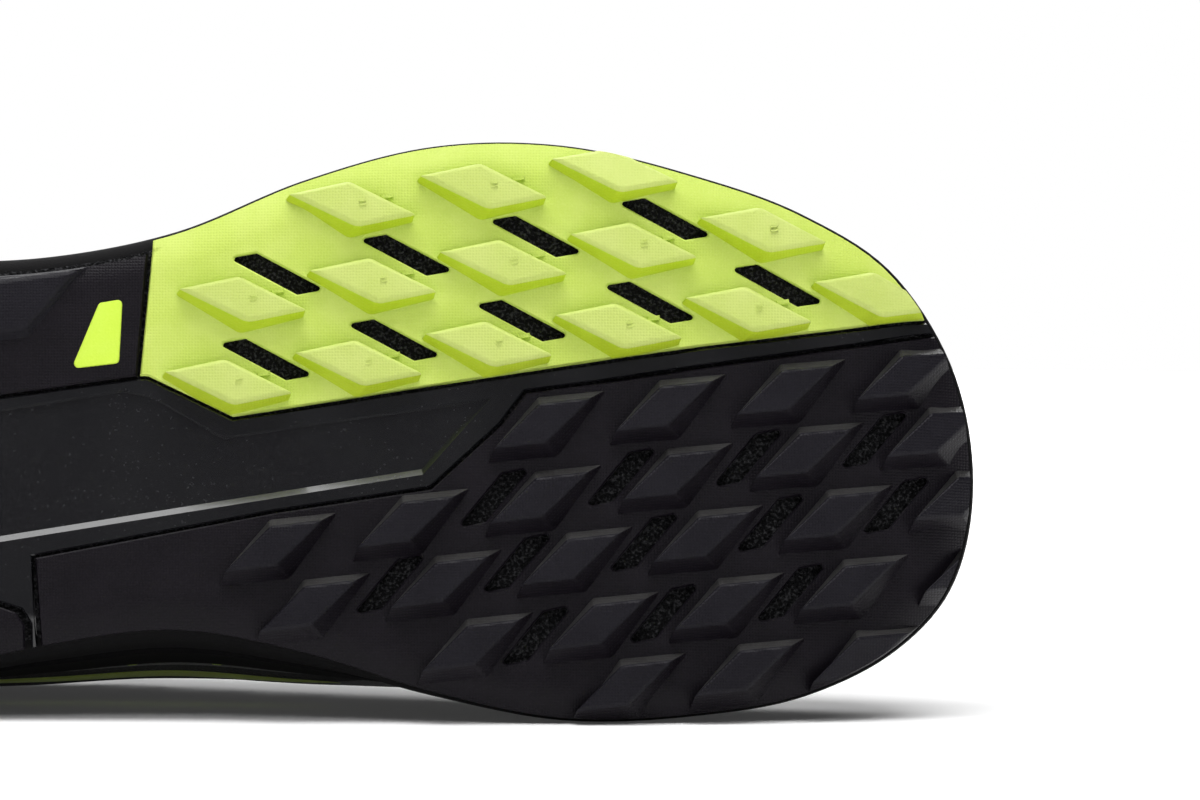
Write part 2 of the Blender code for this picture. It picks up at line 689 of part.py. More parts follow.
def tube(name, rings):
    """Rings joined in order, each end closed across its two long sides."""
    count = len(rings[0])
    faces = [
        (r * count + i, r * count + (i + 1) % count, (r + 1) * count + (i + 1) % count, (r + 1) * count + i)
        for r in range(len(rings) - 1) for i in range(count)
    ]
    for start in (0, (len(rings) - 1) * count):
        faces += [
            (start + i, start + i + 1, start + count - 2 - i, start + count - 1 - i)
            for i in range(count // 2 - 1)
        ]
    made = mesh_object(name, np.concatenate(rings), faces)
    tidy(made)
    return made


def tongue():
    """A padded sheet under the throat, from under the vamp to above the collar."""
    across = np.linspace(-1, 1, 9)
    tops = []
    bottoms = []
    for section in np.linspace(*TONGUE_SECTIONS, 8):
        t = section_turn(section)
        thick = wall(np.array([t]), np.array([1.0]))[0] + 3 * GAP
        tops.append(np.array([over_throat(t, a, -thick, TONGUE_DEPTH) for a in across]))
        bottoms.append(np.array([over_throat(t, a, -thick - TONGUE, TONGUE_DEPTH) for a in across]))
    for layer in (tops, bottoms):
        run = (layer[0] - layer[1]).mean(axis=0)
        middle = layer[0].mean(axis=0)
        tip = middle + (layer[0] - middle) * TONGUE_TIP
        layer.insert(0, tip + run / np.linalg.norm(run) * TONGUE_RISE)
        run = (layer[-1] - layer[-2]).mean(axis=0)
        run[2] *= 2
        layer.append(layer[-1] + run / np.linalg.norm(run) * TONGUE_UNDER)
    return tube("tongue", [np.concatenate([top, low[::-1]]) for top, low in zip(tops, bottoms)])


def band(name, path, up, width, thickness):
    """A flat band along a path of points, its flat side towards each point's up."""
    path = np.array(path)
    run = np.gradient(path, axis=0)
    side = np.cross(run, up)
    side /= np.linalg.norm(side, axis=1, keepdims=True)
    up = np.cross(side, run)
    up /= np.linalg.norm(up, axis=1, keepdims=True)
    rings = []
    for point, across, above in zip(path, side * width / 2, up * thickness / 2):
        rings.append(np.array([point + across + above, point - across + above,
                               point - across - above, point + across - above]))
    return tube(name, rings)


def lace():
    """A straight bar at the front, then crossings up to the top eyelets, all joined."""
    turns = [section_turn(s) for s in np.linspace(EYELET_SECTIONS[1], EYELET_SECTIONS[0], EYELETS)]
    clear = 2 * GAP + LACE_THICKNESS
    runs = [(turns[0], turns[0], 0.2)]
    for below, above in zip(turns, turns[1:]):
        runs += [(below, above, 0.0), (above, below, 0.45)]
    bars = []
    for start, end, over in runs:
        path = []
        for share in np.linspace(-0.02, 1.02, 7) + over * 0.02:
            t = start + (end - start) * share
            lift = clear + LACE_THICKNESS * (over + max(math.sin(math.pi * share), 0))
            path.append(over_throat(t, 2 * share - 1, lift, EYELET_DEPTH))
        bars.append(band("bar", path, np.tile([0.35, 0, 1], (len(path), 1)), LACE_WIDTH, LACE_THICKNESS))
    whole = bars[0]
    whole.name = "lace"
    return combine(whole, "UNION", joined("bars", bars[1:]))


def heel_pull_loop():
    """A webbing loop on the back of the collar: it leaves the shell, arches out and comes back."""
    path = []
    ups = []
    for share in np.linspace(0, 1, 11):
        v = np.array([LOOP_SPAN[0] + (LOOP_SPAN[1] - LOOP_SPAN[0]) * share])
        t = np.array([0.0])
        normal = shell_normal(t, v)[0]
        reach = GAP + LOOP_THICKNESS / 2 + LOOP_REACH * math.sin(math.pi * share) ** 0.7
        path.append(shell(t, v)[0] + normal * reach)
        ups.append(normal)
    return band("heel_pull_loop", path, np.array(ups), LOOP_WIDTH, LOOP_THICKNESS)


def finish(made, slot):
    red, green, blue, roughness, metallic = FINISHES[slot]
    material = bpy.data.materials.get(slot) or bpy.data.materials.new(slot)
    material.use_nodes = True
    shader = material.node_tree.nodes["Principled BSDF"]
    shader.inputs["Base Color"].default_value = (red, green, blue, 1)
    shader.inputs["Roughness"].default_value = roughness
    shader.inputs["Metallic"].default_value = metallic
    made.data.materials.clear()
    made.data.materials.append(material)
    made.data.shade_smooth()
    made.data.set_sharp_from_angle(angle=math.radians(35))


def resting_turn(points):
    """The turn that lays the shoe on its medial side.

    The widest point touches first, then the other end of the sole's edge. The shoe leans back on the
    line through both until its upper touches.
    """
    first = points[points[:, 1].argmax()]
    offsets = points - first
    far = offsets[np.abs(offsets[:, 0]) > EDGE_REACH]
    edge = Vector(far[np.arctan2(-far[:, 1], np.abs(far[:, 0])).argmin()]).normalized()
    down = Vector((0, 1, 0)) - edge * edge.y
    over = np.array(down.cross(edge).normalized())
    over *= math.copysign(1, over[2])
    behind = offsets[offsets @ over > HEEL_STACK / 2]
    leans = np.arctan2(-behind @ np.array(down.normalized()), behind @ over)
    up = edge.cross(Vector(behind[leans.argmin()])).normalized()
    if up.y > 0:
        up.negate()
    along = Vector((1, 0, 0))
    along = (along - up * up.x).normalized()
    return Matrix((along, up.cross(along), up))


def main():
    for old in list(bpy.data.objects):
        bpy.data.objects.remove(old)
    pieces = [
        (lateral_forefoot(), "lime_rubber"),
        (medial_forefoot(), "black_rubber"),
        (lateral_midfoot(), "black_rubber"),
        (heel(), "black_rubber"),
        (window(), "smoke_gloss"),
        (midsole(), "black_foam"),
        (insole(), "black_lining"),
        (upper(), "black_mesh"),
        (tongue(), "black_lining"),
        (lace(), "black_lace"),
        (heel_pull_loop(), "black_lace"),
    ]
    for made, slot in pieces:
        finish(made, slot)
    points = np.concatenate([[v.co for v in made.data.vertices] for made, _ in pieces])
    turn = resting_turn(points)
    laid = points @ np.array(turn).T
    low, high = laid.min(axis=0), laid.max(axis=0)
    rest = bpy.data.objects.new("lying_on_its_side", None)
    bpy.context.collection.objects.link(rest)
    origin = Vector((-(low[0] + high[0]) / 2, -(low[1] + high[1]) / 2, -low[2]))
    rest.matrix_world = Matrix.Translation(origin) @ turn.to_4x4()
    for made, _ in pieces:
        made.parent = rest


main()
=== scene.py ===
# Right trail running shoe lying on its medial side: the finish of every surface.
# Shapes are worked out as the shoe is worn, in millimetres: x from heel to toe, y to the medial side,
# z up from the lug tips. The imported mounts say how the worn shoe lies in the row's frame.

import json
import math
from collections import namedtuple

import bmesh
import bpy
import numpy as np
from mathutils import Matrix, Vector


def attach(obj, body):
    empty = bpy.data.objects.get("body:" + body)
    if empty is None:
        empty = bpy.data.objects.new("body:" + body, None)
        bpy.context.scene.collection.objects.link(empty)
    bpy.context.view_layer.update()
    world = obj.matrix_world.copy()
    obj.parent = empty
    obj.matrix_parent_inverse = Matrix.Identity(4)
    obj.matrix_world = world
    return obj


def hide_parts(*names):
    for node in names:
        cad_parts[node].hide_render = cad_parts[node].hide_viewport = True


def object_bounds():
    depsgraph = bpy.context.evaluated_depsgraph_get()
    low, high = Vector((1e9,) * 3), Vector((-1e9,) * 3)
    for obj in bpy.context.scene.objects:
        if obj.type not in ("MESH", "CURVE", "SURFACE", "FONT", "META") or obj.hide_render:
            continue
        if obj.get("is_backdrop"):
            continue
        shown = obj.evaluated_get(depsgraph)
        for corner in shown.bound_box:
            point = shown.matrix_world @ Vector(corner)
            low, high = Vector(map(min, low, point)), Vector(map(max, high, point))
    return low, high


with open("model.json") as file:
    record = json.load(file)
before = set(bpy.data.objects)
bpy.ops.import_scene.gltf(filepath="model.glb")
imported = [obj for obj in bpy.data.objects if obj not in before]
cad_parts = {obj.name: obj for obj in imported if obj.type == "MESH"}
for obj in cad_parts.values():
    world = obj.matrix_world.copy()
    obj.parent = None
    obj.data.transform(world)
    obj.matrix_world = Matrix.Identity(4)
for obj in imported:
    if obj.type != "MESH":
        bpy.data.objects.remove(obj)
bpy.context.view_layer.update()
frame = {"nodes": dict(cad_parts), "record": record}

print("frame loaded:", len(frame["nodes"]), "nodes")


# The last: the same sections as the solids

shoe = {
    "length": 300, "ballWidth": 112, "heelStack": 40, "heelHeight": 110, "instepHeight": 108,
    "toeSpring": 20, "springStart": 198, "heelRise": 6, "heelRiseEnd": 34,
    "rimWidth": 6.5, "rimRoll": 2.6, "rubber": 2, "lugHeight": 3.6, "seam": 0.6, "gap": 0.3,
    "wall": 2.4, "collarPad": 6.5, "ledge": 2.2, "baseWall": 3, "dish": 4, "dishWidth": 9,
    "insole": 4, "ridgeOffset": -3.5, "ridgeStart": 25,
}

# Along is in hundredths of the length, the rest in hundredths of the ball width, the stack of the heel's
Sole = namedtuple("Sole", "along lateral medial flareLateral flareMedial stack")
soleSections = [
    Sole(0.0, 0.0, 0.0, 1.0, 1.0, 103),
    Sole(1.7, 17.9, 17.9, 1.0, -1.0, 103),
    Sole(5.7, 30.8, 31.2, 1.0, -3.4, 102),
    Sole(12.7, 38.8, 39.2, 0.8, -5.4, 100),
    Sole(22.0, 39.7, 38.4, 0.8, -4.4, 98),
    Sole(31.7, 38.6, 32.8, 1.4, -0.2, 97),
    Sole(40.0, 39.3, 27.7, 1.8, 3.2, 94),
    Sole(48.3, 43.7, 25.0, 1.4, 4.4, 88),
    Sole(56.7, 52.9, 28.9, 0.6, 2.6, 81),
    Sole(65.0, 58.8, 35.7, 0.0, -2.0, 73),
    Sole(73.3, 59.1, 40.2, -0.4, -3.8, 66),
    Sole(81.7, 54.3, 39.4, -0.4, -3.6, 60),
    Sole(89.0, 47.7, 35.6, -0.4, -2.8, 55),
    Sole(94.7, 38.3, 27.8, -0.4, -2.0, 51),
    Sole(98.3, 24.2, 17.4, -0.4, -1.0, 48),
    Sole(100.0, 2.4, 2.4, -0.4, -0.4, 47),
]

Rib = namedtuple("Rib", "along across tall downAlong downAcross downTall bulgeLateral bulgeMedial rise pad")
collarRibs = [
    Rib(3.0, 0.0, 102, 2.4, 0.0, 24, 4.0, 4.0, 22, 1.0),
    Rib(3.4, 8.4, 101, 2.0, 1.4, 24, 4.0, 3.4, 22, 1.0),
    Rib(5.8, 18.8, 97.5, 1.3, 2.6, 23, 4.0, 2.0, 22, 1.0),
    Rib(12.0, 26.6, 89, 0.3, 2.8, 21, 3.2, 0.4, 20, 1.0),
    Rib(20.6, 28.6, 83, 0.0, 3.0, 19, 3.0, 0.2, 19, 1.0),
    Rib(28.8, 28.2, 87, 0.2, 4.8, 19, 2.6, 1.2, 18, 1.0),
    Rib(35.0, 24.4, 96, 0.6, 9.6, 18, 2.6, 3.0, 18, 0.9),
]
throatRibs = [
    Rib(40.2, 18.6, 101, 1.0, 15.6, 14, 3.2, 4.0, 18, 0.4),
    Rib(47.0, 15.2, 95, 1.7, 19.0, 12, 4.0, 3.6, 18, 0.0),
    Rib(54.4, 13.6, 86.5, 2.6, 21.0, 9, 4.2, 2.0, 17, 0.0),
    Rib(60.8, 12.0, 78.5, 4.6, 21.4, 7, 4.4, 1.2, 17, 0.0),
    Rib(65.4, 9.8, 72.5, 8.0, 18.8, 6, 4.4, 1.2, 17, 0.0),
    Rib(68.0, 7.2, 69, 11.4, 13.4, 6, 4.4, 2.2, 17, 0.0),
    Rib(69.2, 4.6, 67.5, 13.4, 8.0, 6, 4.6, 3.2, 17, 0.0),
    Rib(69.8, 2.2, 66.8, 14.4, 3.6, 6, 5.0, 4.2, 17, 0.0),
    Rib(70.0, 0.0, 66.6, 14.7, 0.0, 6, 5.0, 5.0, 17, 0.0),
]


def hermite(u, start, end, startRun, endRun):
    return (
        (2 * u**3 - 3 * u**2 + 1) * start + (u**3 - 2 * u**2 + u) * startRun
        + (3 * u**2 - 2 * u**3) * end + (u**3 - u**2) * endRun
    )


def unit(vectors):
    return vectors / np.linalg.norm(vectors, axis=-1, keepdims=True)


def runAlong(path):  # each point's distance along a path
    return np.concatenate([[0], np.cumsum(np.linalg.norm(np.diff(path, axis=0), axis=1))])


def smoothLoop(knots, values, at):  # a smooth closed curve through values at knots
    count = len(values)
    steps = np.diff(knots)
    before = np.roll(steps, 1)
    rise = (np.roll(values, -1, axis=0) - values) / steps[:, None]
    slopes = (rise * before[:, None] + np.roll(rise, 1, axis=0) * steps[:, None]) / (steps + before)[:, None]
    at = np.mod(at, knots[-1])
    k = np.clip(np.searchsorted(knots, at, side="right") - 1, 0, count - 1)
    h = steps[k][..., None]
    u = ((at - knots[k]) / steps[k])[..., None]
    following = (k + 1) % count
    return hermite(u, values[k], values[following], h * slopes[k], h * slopes[following])


def ridge(along):
    return shoe["ridgeOffset"] * min(max((along - shoe["ridgeStart"]) / shoe["ridgeStart"], 0), 1)


def sideValues(k, side):  # one section on one side, in millimetres: lateral is -1, medial +1
    sole = soleSections[k]
    rib = (collarRibs + throatRibs)[k]
    long, wide, stack = shoe["length"] / 100, shoe["ballWidth"] / 100, shoe["heelStack"] / 100
    tall = (shoe["heelHeight"] if k < len(collarRibs) else shoe["instepHeight"]) / 100
    half, flare, bulge = (
        (sole.lateral, sole.flareLateral, rib.bulgeLateral) if side < 0
        else (sole.medial, sole.flareMedial, rib.bulgeMedial)
    )
    tip = -sole.lateral if k == len(soleSections) - 1 else side * half
    lip = ridge(rib.along) + side * rib.across
    return np.array([
        sole.along * long, tip * wide, flare * wide, sole.stack * stack,
        rib.along * long, lip * wide, rib.tall * tall,
        rib.downAlong * long, side * rib.downAcross * wide, -rib.downTall * tall,
        bulge * wide, rib.rise * wide, rib.pad,
    ])


def sectionLoop():
    lateral = [sideValues(k, -1) for k in range(len(soleSections))]
    medial = [sideValues(k, 1) for k in range(len(soleSections))]
    steps = [
        (math.dist(lateral[k][:2], lateral[k + 1][:2]) + math.dist(medial[k][:2], medial[k + 1][:2])) / 2
        for k in range(len(soleSections) - 1)
    ]
    knots = np.concatenate([[0], np.cumsum(steps + steps[::-1])])
    return knots / knots[-1], np.array(lateral + medial[-2:0:-1])


knots, loopValues = sectionLoop()
Last = namedtuple("Last", "foot out flare stack lip down bulge rise pad")


def lastAt(turn):  # turn runs from 0 at the heel's back along the lateral side to 0.5 at the toe, then back
    values = smoothLoop(knots, loopValues, turn)
    step = 0.002
    ahead, behind = (smoothLoop(knots, loopValues, turn + way)[..., :2] for way in (step, -step))
    run = unit(ahead - behind)
    out = np.stack([run[..., 1], -run[..., 0]], axis=-1)
    return Last(
        values[..., 0:2], out, values[..., 2], values[..., 3], values[..., 4:7], values[..., 7:10],
        values[..., 10], values[..., 11], values[..., 12],
    )


def sectionTurn(section):
    return float(np.interp(section, np.arange(len(soleSections)), knots[:len(soleSections)]))


def sectionOf(turn):  # which section a turn is at, counted from the heel on both sides
    turn = np.mod(turn, 1.0)
    return np.interp(np.minimum(turn, 1 - turn), knots[:len(soleSections)], np.arange(len(soleSections)))


def spring(x):
    toe = np.maximum(x - shoe["springStart"], 0) / (shoe["length"] - shoe["springStart"])
    heel = np.maximum(shoe["heelRiseEnd"] - x, 0) / shoe["heelRiseEnd"]
    return shoe["toeSpring"] * toe**2.2 + shoe["heelRise"] * heel**2


edgeTurns = np.arange(216) / 216
soleEdge = lastAt(edgeTurns)


def outline(offset=0.0, at=soleEdge):
    return at.foot + at.out * offset


def insideBy(points):  # each point's distance to the sole's outline
    start = outline()
    edge = np.roll(start, -1, axis=0) - start
    nearest = np.full(len(points), 1e9)
    for a, e in zip(start, edge):
        offset = points - a
        share = np.clip(offset @ e / (e @ e), 0, 1)
        nearest = np.minimum(nearest, np.linalg.norm(offset - share[:, None] * e, axis=1))
    return nearest


def lift(x, y):  # toe spring, heel rise and the roll of the rim
    rim = np.clip(1 - insideBy(np.stack([x, y], axis=1)) / shoe["rimWidth"], 0, 1)
    return spring(x) + shoe["rimRoll"] * rim**2


def shell(turn, up):  # the upper's outer surface, up from 0 at the foam to 1 at the lip
    at = lastAt(turn)
    plan = at.foot + at.out * (at.flare - shoe["ledge"])[..., None]
    height = at.stack + shoe["gap"] + spring(plan[..., 0])
    foot = np.concatenate([plan, height[..., None]], axis=-1)
    bulge = np.concatenate([at.out * at.bulge[..., None], at.rise[..., None]], axis=-1)
    v = np.asarray(up)[..., None]
    return (
        (1 - v)**3 * foot + 3 * v * (1 - v)**2 * (foot + bulge)
        + 3 * v**2 * (1 - v) * (at.lip + at.down) + v**3 * at.lip
    )


def shellNormal(turn, up):
    step = 0.004
    around = shell(turn + step, up) - shell(turn - step, up)
    rise = shell(turn, np.minimum(up + step, 1.0)) - shell(turn, np.maximum(up - step, 0.0))
    return unit(np.cross(around, rise))


def wallAt(turn, up):
    pad = np.clip(lastAt(turn).pad, 0, 1) * np.clip((up - 0.5) / 0.35, 0, 1)
    foot = np.clip(1 - up / 0.12, 0, 1)
    return shoe["wall"] + (shoe["collarPad"] - shoe["wall"]) * pad + (shoe["baseWall"] - shoe["wall"]) * foot


def overThroat(turn, across, off, depth):  # a point over the throat, across from -1 lateral to 1 medial
    sides = []
    for up in (depth, 1.0):
        for way in (turn, 1 - turn):
            t, v = np.array([way]), np.array([up])
            sides.append((shell(t, v) + shellNormal(t, v) * off)[0])
    lowLateral, lowMedial, lipLateral, lipMedial = sides
    ahead = (lastAt(np.array([turn + 0.02])).lip - lastAt(np.array([turn - 0.02])).lip)[0]
    crown = unit(np.cross(ahead, lipMedial - lipLateral))
    middle = (lipLateral + lipMedial) / 2 + crown * np.linalg.norm(lipMedial - lipLateral) * 0.1
    points = [lowLateral, lipLateral, middle, lipMedial, lowMedial]
    place = (across + 1) * 2
    k = min(max(int(place), 0), 3)
    u = place - k
    a, b = points[k], points[k + 1]
    before = points[k - 1] if k else 2 * a - b
    after = points[k + 2] if k < 3 else 2 * b - a
    return hermite(u, a, b, (b - before) / 2, (after - a) / 2)


# Laying the worn shoe down

mountSpots = {"forefoot_lug_face": (155.6, -19.4), "heel_lug_face": (47.1, -18.2)}


def layingDown():
    mounts = {m["name"]: m for m in frame["record"]["mounts"]}
    fore, heel = (np.array(mounts[name]["pos_m"]) for name in mountSpots)
    foreSpot, heelSpot = (np.array(spot) for spot in mountSpots.values())
    up = unit(-np.array(mounts["forefoot_lug_face"]["axis"]))
    run = unit(fore - heel - up * ((fore - heel) @ up))
    aside = np.cross(up, run)
    angle = math.atan2(*(foreSpot - heelSpot)[::-1])
    x = math.cos(angle) * run - math.sin(angle) * aside
    y = math.sin(angle) * run + math.cos(angle) * aside
    turn = np.stack([x, y, up], axis=1)
    return turn, fore - turn @ np.array([foreSpot[0], foreSpot[1], 0]) * 0.001


layTurn, layStart = layingDown()


def laid(points):  # worn millimetres to the row's metres
    return np.asarray(points) @ layTurn.T * 0.001 + layStart


# Meshes

def asPiece(name, points, faces, materials, kinds=None, marks=None, sharp=35, weighted=False):
    mesh = bpy.data.meshes.new(name)
    mesh.from_pydata(laid(points).tolist(), [], [tuple(f) for f in faces])
    for material in materials:
        mesh.materials.append(material)
    if kinds is not None:
        mesh.polygons.foreach_set("material_index", np.asarray(kinds, dtype=np.int32))
    marks = {"worn": points, **(marks or {})}
    for key, values in marks.items():
        values = np.asarray(values, dtype=np.float32)
        kind = "FLOAT_VECTOR" if values.ndim == 2 else "FLOAT"
        attribute = mesh.attributes.new(key, kind, "POINT")
        attribute.data.foreach_set("vector" if values.ndim == 2 else "value", values.ravel())
    mesh.validate()
    mesh.shade_smooth()
    if sharp:
        mesh.set_sharp_from_angle(angle=math.radians(sharp))
    made = bpy.data.objects.new(name, mesh)
    bpy.context.scene.collection.objects.link(made)
    if weighted:
        modifier = made.modifiers.new("faceNormals", "WEIGHTED_NORMAL")
        modifier.keep_sharp = True
    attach(made, "root")
    return made


def joinedParts(parts):  # (points, faces, kind) together as one
    points, faces, kinds, base = [], [], [], 0
    for partPoints, partFaces, kind in parts:
        points.append(np.asarray(partPoints, dtype=float))
        faces += [tuple(base + v for v in face) for face in partFaces]
        kinds += [kind] * len(partFaces) if isinstance(kind, int) else kind
        base += len(partPoints)
    return np.concatenate(points), faces, kinds


def ringFaces(rings, count, closed=False):
    faces = []
    for r in range(rings if closed else rings - 1):
        a, b = r * count, (r + 1) % rings * count
        faces += [(a + i, a + (i + 1) % count, b + (i + 1) % count, b + i) for i in range(count)]
    return faces


def ladderFaces(first, count, turned):  # closes a ring across its two long sides
    faces = []
    for i in range(count // 2):
        ladder = [i, i + 1, count - i - 1, (count - i) % count]
        ladder = [first + v for k, v in enumerate(ladder) if v not in ladder[:k]]
        faces.append(tuple(reversed(ladder)) if turned else tuple(ladder))
    return faces


def solidLoft(rings):
    count = len(rings[0])
    last = (len(rings) - 1) * count
    faces = ringFaces(len(rings), count) + ladderFaces(0, count, True) + ladderFaces(last, count, False)
    return np.concatenate(rings), faces


def scratchObject(points, faces):
    mesh = bpy.data.meshes.new("scratch")
    mesh.from_pydata(np.asarray(points).tolist(), [], [tuple(f) for f in faces])
    work = bmesh.new()
    work.from_mesh(mesh)
    bmesh.ops.recalc_face_normals(work, faces=work.faces)
    work.to_mesh(mesh)
    work.free()
    made = bpy.data.objects.new("scratch", mesh)
    bpy.context.scene.collection.objects.link(made)
    return made


def evaluated(thing):
    bpy.context.view_layer.update()
    whole = bpy.data.meshes.new_from_object(thing.evaluated_get(bpy.context.evaluated_depsgraph_get()))
    thing.modifiers.clear()
    thing.data = whole
    return thing


def combined(thing, operation, tool):
    modifier = thing.modifiers.new("cut", "BOOLEAN")
    modifier.operation = operation
    modifier.object = tool
    modifier.solver = "EXACT"
    modifier.use_self = True
    evaluated(thing)
    bpy.data.objects.remove(tool)
    return thing


def eased(thing, width, segments):  # every edge that isn't nearly flat gets a small round
    modifier = thing.modifiers.new("edges", "BEVEL")
    modifier.width = width
    modifier.segments = segments
    modifier.limit_method = "ANGLE"
    modifier.angle_limit = math.radians(24)
    modifier.use_clamp_overlap = False
    return evaluated(thing)


def taken(thing, kind):
    points = np.array([v.co for v in thing.data.vertices])
    faces = [tuple(p.vertices) for p in thing.data.polygons]
    bpy.data.objects.remove(thing)
    return points, faces, kind


def prism(corners, low, high, base=None):
    base = corners if base is None else base
    count = len(corners)
    points = [(*p, low) for p in corners] + [(*p, high) for p in base]
    faces = [tuple(range(count))[::-1], tuple(range(count, 2 * count))]
    faces += [(i, (i + 1) % count, count + (i + 1) % count, count + i) for i in range(count)]
    return points, faces


def inPlan(points):  # hundredths of the length and of the ball width to millimetres
    return [np.array([x * shoe["length"], y * shoe["ballWidth"]]) / 100 for x, y in points]


def grown(corners, distances):  # a polygon with each side moved outwards
    count = len(corners)
    area = sum(corners[i - 1][0] * corners[i][1] - corners[i][0] * corners[i - 1][1] for i in range(count))
    turn = 1 if area > 0 else -1
    lines = []
    for i in range(count):
        run = unit(corners[(i + 1) % count] - corners[i])
        lines.append((corners[i] + np.array([run[1], -run[0]]) * turn * distances[i], run))
    moved = []
    for i in range(count):
        (point, run), (other, otherRun) = lines[i], lines[i - 1]
        turned = run[0] * otherRun[1] - run[1] * otherRun[0]
        gone = other - point
        share = (gone[0] * otherRun[1] - gone[1] * otherRun[0]) / turned if abs(turned) > 1e-3 else 0.0
        moved.append(point + run * share)
    return moved


def roundCorners(corners, radius, steps=8):  # each corner becomes an arc
    points = []
    for i, corner in enumerate(corners):
        back, ahead = unit(corners[i - 1] - corner), unit(corners[(i + 1) % len(corners)] - corner)
        half = math.acos(np.clip(back @ ahead, -1, 1)) / 2
        centre = corner + unit(back + ahead) * radius / math.sin(half)
        start = corner + back * radius / math.tan(half) - centre
        end = corner + ahead * radius / math.tan(half) - centre
        sweep = math.pi - 2 * half
        for share in np.linspace(0, 1, steps):
            points.append(centre + (math.sin((1 - share) * sweep) * start + math.sin(share * sweep) * end)
                          / math.sin(sweep))
    return points


# Finishes

class Wire:  # a shader output that sums can be written with
    def __init__(self, nodes, socket):
        self.nodes = nodes
        self.socket = socket

    def __add__(self, other):
        return self.nodes.maths("ADD", self, other)

    def __radd__(self, other):
        return self.nodes.maths("ADD", other, self)

    def __sub__(self, other):
        return self.nodes.maths("SUBTRACT", self, other)

    def __rsub__(self, other):
        return self.nodes.maths("SUBTRACT", other, self)

    def __mul__(self, other):
        return self.nodes.maths("MULTIPLY", self, other)

    def __rmul__(self, other):
        return self.nodes.maths("MULTIPLY", other, self)

    def between(self, low, high):  # 0 below low, 1 above high, smooth in between
        return self.nodes.node(
            "ShaderNodeMapRange", {"interpolation_type": "SMOOTHSTEP"},
            {"Value": self, "From Min": low, "From Max": high},
        )


class Nodes:  # one node tree and what adds to it
    def __init__(self, tree):
        self.tree = tree

    def plug(self, socket, value):
        if isinstance(value, Wire):
            self.tree.links.new(value.socket, socket)
        elif isinstance(value, tuple) and len(value) == 3 and socket.type == "RGBA":
            socket.default_value = (*value, 1)
        else:
            socket.default_value = value

    def node(self, kind, settings, values, out=0):
        node = self.tree.nodes.new(kind)
        for key, value in settings.items():
            setattr(node, key, value)
        for key, value in values.items():
            self.plug(node.inputs[key], value)
        return Wire(self, node.outputs[out])

    def maths(self, operation, *values):
        return self.node("ShaderNodeMath", {"operation": operation}, dict(enumerate(values)))

    def mix(self, share, first, second):
        return self.node(
            "ShaderNodeMix", {"data_type": "RGBA"}, {0: share, 6: first, 7: second}, out=2
        )

    def mark(self, name, vector=False):
        return self.node("ShaderNodeAttribute", {"attribute_name": name}, {}, out=1 if vector else 2)

    def noise(self, place, size, detail=3.0, roughness=0.55):  # size is the feature's, in millimetres
        return self.node(
            "ShaderNodeTexNoise", {},
            {"Vector": place, "Scale": 1 / size, "Detail": detail, "Roughness": roughness},
        )

    def cells(self, place, size, scatter=1.0):  # scatter 0 is a plain grid
        return self.node("ShaderNodeTexVoronoi", {}, {"Vector": place, "Scale": 1 / size, "Randomness": scatter})

    def parts(self, place):  # a vector's three numbers
        node = self.tree.nodes.new("ShaderNodeSeparateXYZ")
        self.plug(node.inputs[0], place)
        return [Wire(self, output) for output in node.outputs]

    def bump(self, height, depth, strength=1.0):  # depth in millimetres
        return self.node(
            "ShaderNodeBump", {}, {"Strength": strength, "Distance": depth * 0.001, "Height": height}
        )


class Finish(Nodes):  # a material and what feeds its shader
    def __init__(self, name, **fixed):
        self.material = bpy.data.materials.new(name)
        self.material.use_nodes = True
        super().__init__(self.material.node_tree)
        self.shader = self.tree.nodes["Principled BSDF"]
        for socket, value in fixed.items():
            self.set(socket.replace("_", " "), value)

    def set(self, socket, value):
        self.plug(self.shader.inputs[socket], value)


def rubberFinish(name, low, high, worn, grain):  # two tones in clouds, with worn specks and fine dots
    finish = Finish(name, Specular_IOR_Level=grain["specular"])
    place = finish.mark("worn", vector=True)
    clouds = finish.noise(place, 9.0, 4.0)
    fine = finish.noise(place, 0.45, 2.0)
    tone = finish.mix(clouds.between(0.35, 0.7), low, high)
    finish.set("Base Color", finish.mix(fine.between(0.45, 0.75) * grain["speck"], tone, worn))
    finish.set("Roughness", grain["roughness"] + (clouds - 0.5) * grain["uneven"] + (fine - 0.5) * 0.1)
    dots = finish.cells(place, grain["dots"], 0.2)
    finish.set("Normal", finish.bump(fine * 0.4 - dots.between(0.1, 0.6), grain["depth"], 0.7))
    return finish.material


def foamFinish(name, dark, light, grain):
    finish = Finish(name, Specular_IOR_Level=0.1)
    place = finish.mark("worn", vector=True)
    crumb = finish.noise(place, grain["crumb"], 2.0, 0.6)
    cells = finish.cells(place, grain["crumb"] * 0.9)
    finish.set("Base Color", finish.mix(crumb.between(0.45, 0.72), dark, light))
    finish.set("Roughness", 0.75 + (crumb - 0.5) * 0.3)
    finish.set("Normal", finish.bump(crumb + cells * 0.6, grain["depth"]))
    return finish.material


def glossFinish(name, colour):
    finish = Finish(name, Specular_IOR_Level=0.6, Coat_Weight=0.12, Coat_Roughness=0.05)
    place = finish.mark("worn", vector=True)
    wave = finish.noise(place, 16.0, 2.0)
    dust = finish.noise(place, 0.7, 2.0)
    finish.set("Base Color", finish.mix(dust.between(0.62, 0.8) * 0.25, colour, (0.05, 0.05, 0.055)))
    finish.set("Roughness", 0.16 + wave * 0.1 + dust.between(0.5, 0.8) * 0.08)
    finish.set("Normal", finish.bump(wave, 0.25, 0.5))
    return finish.material


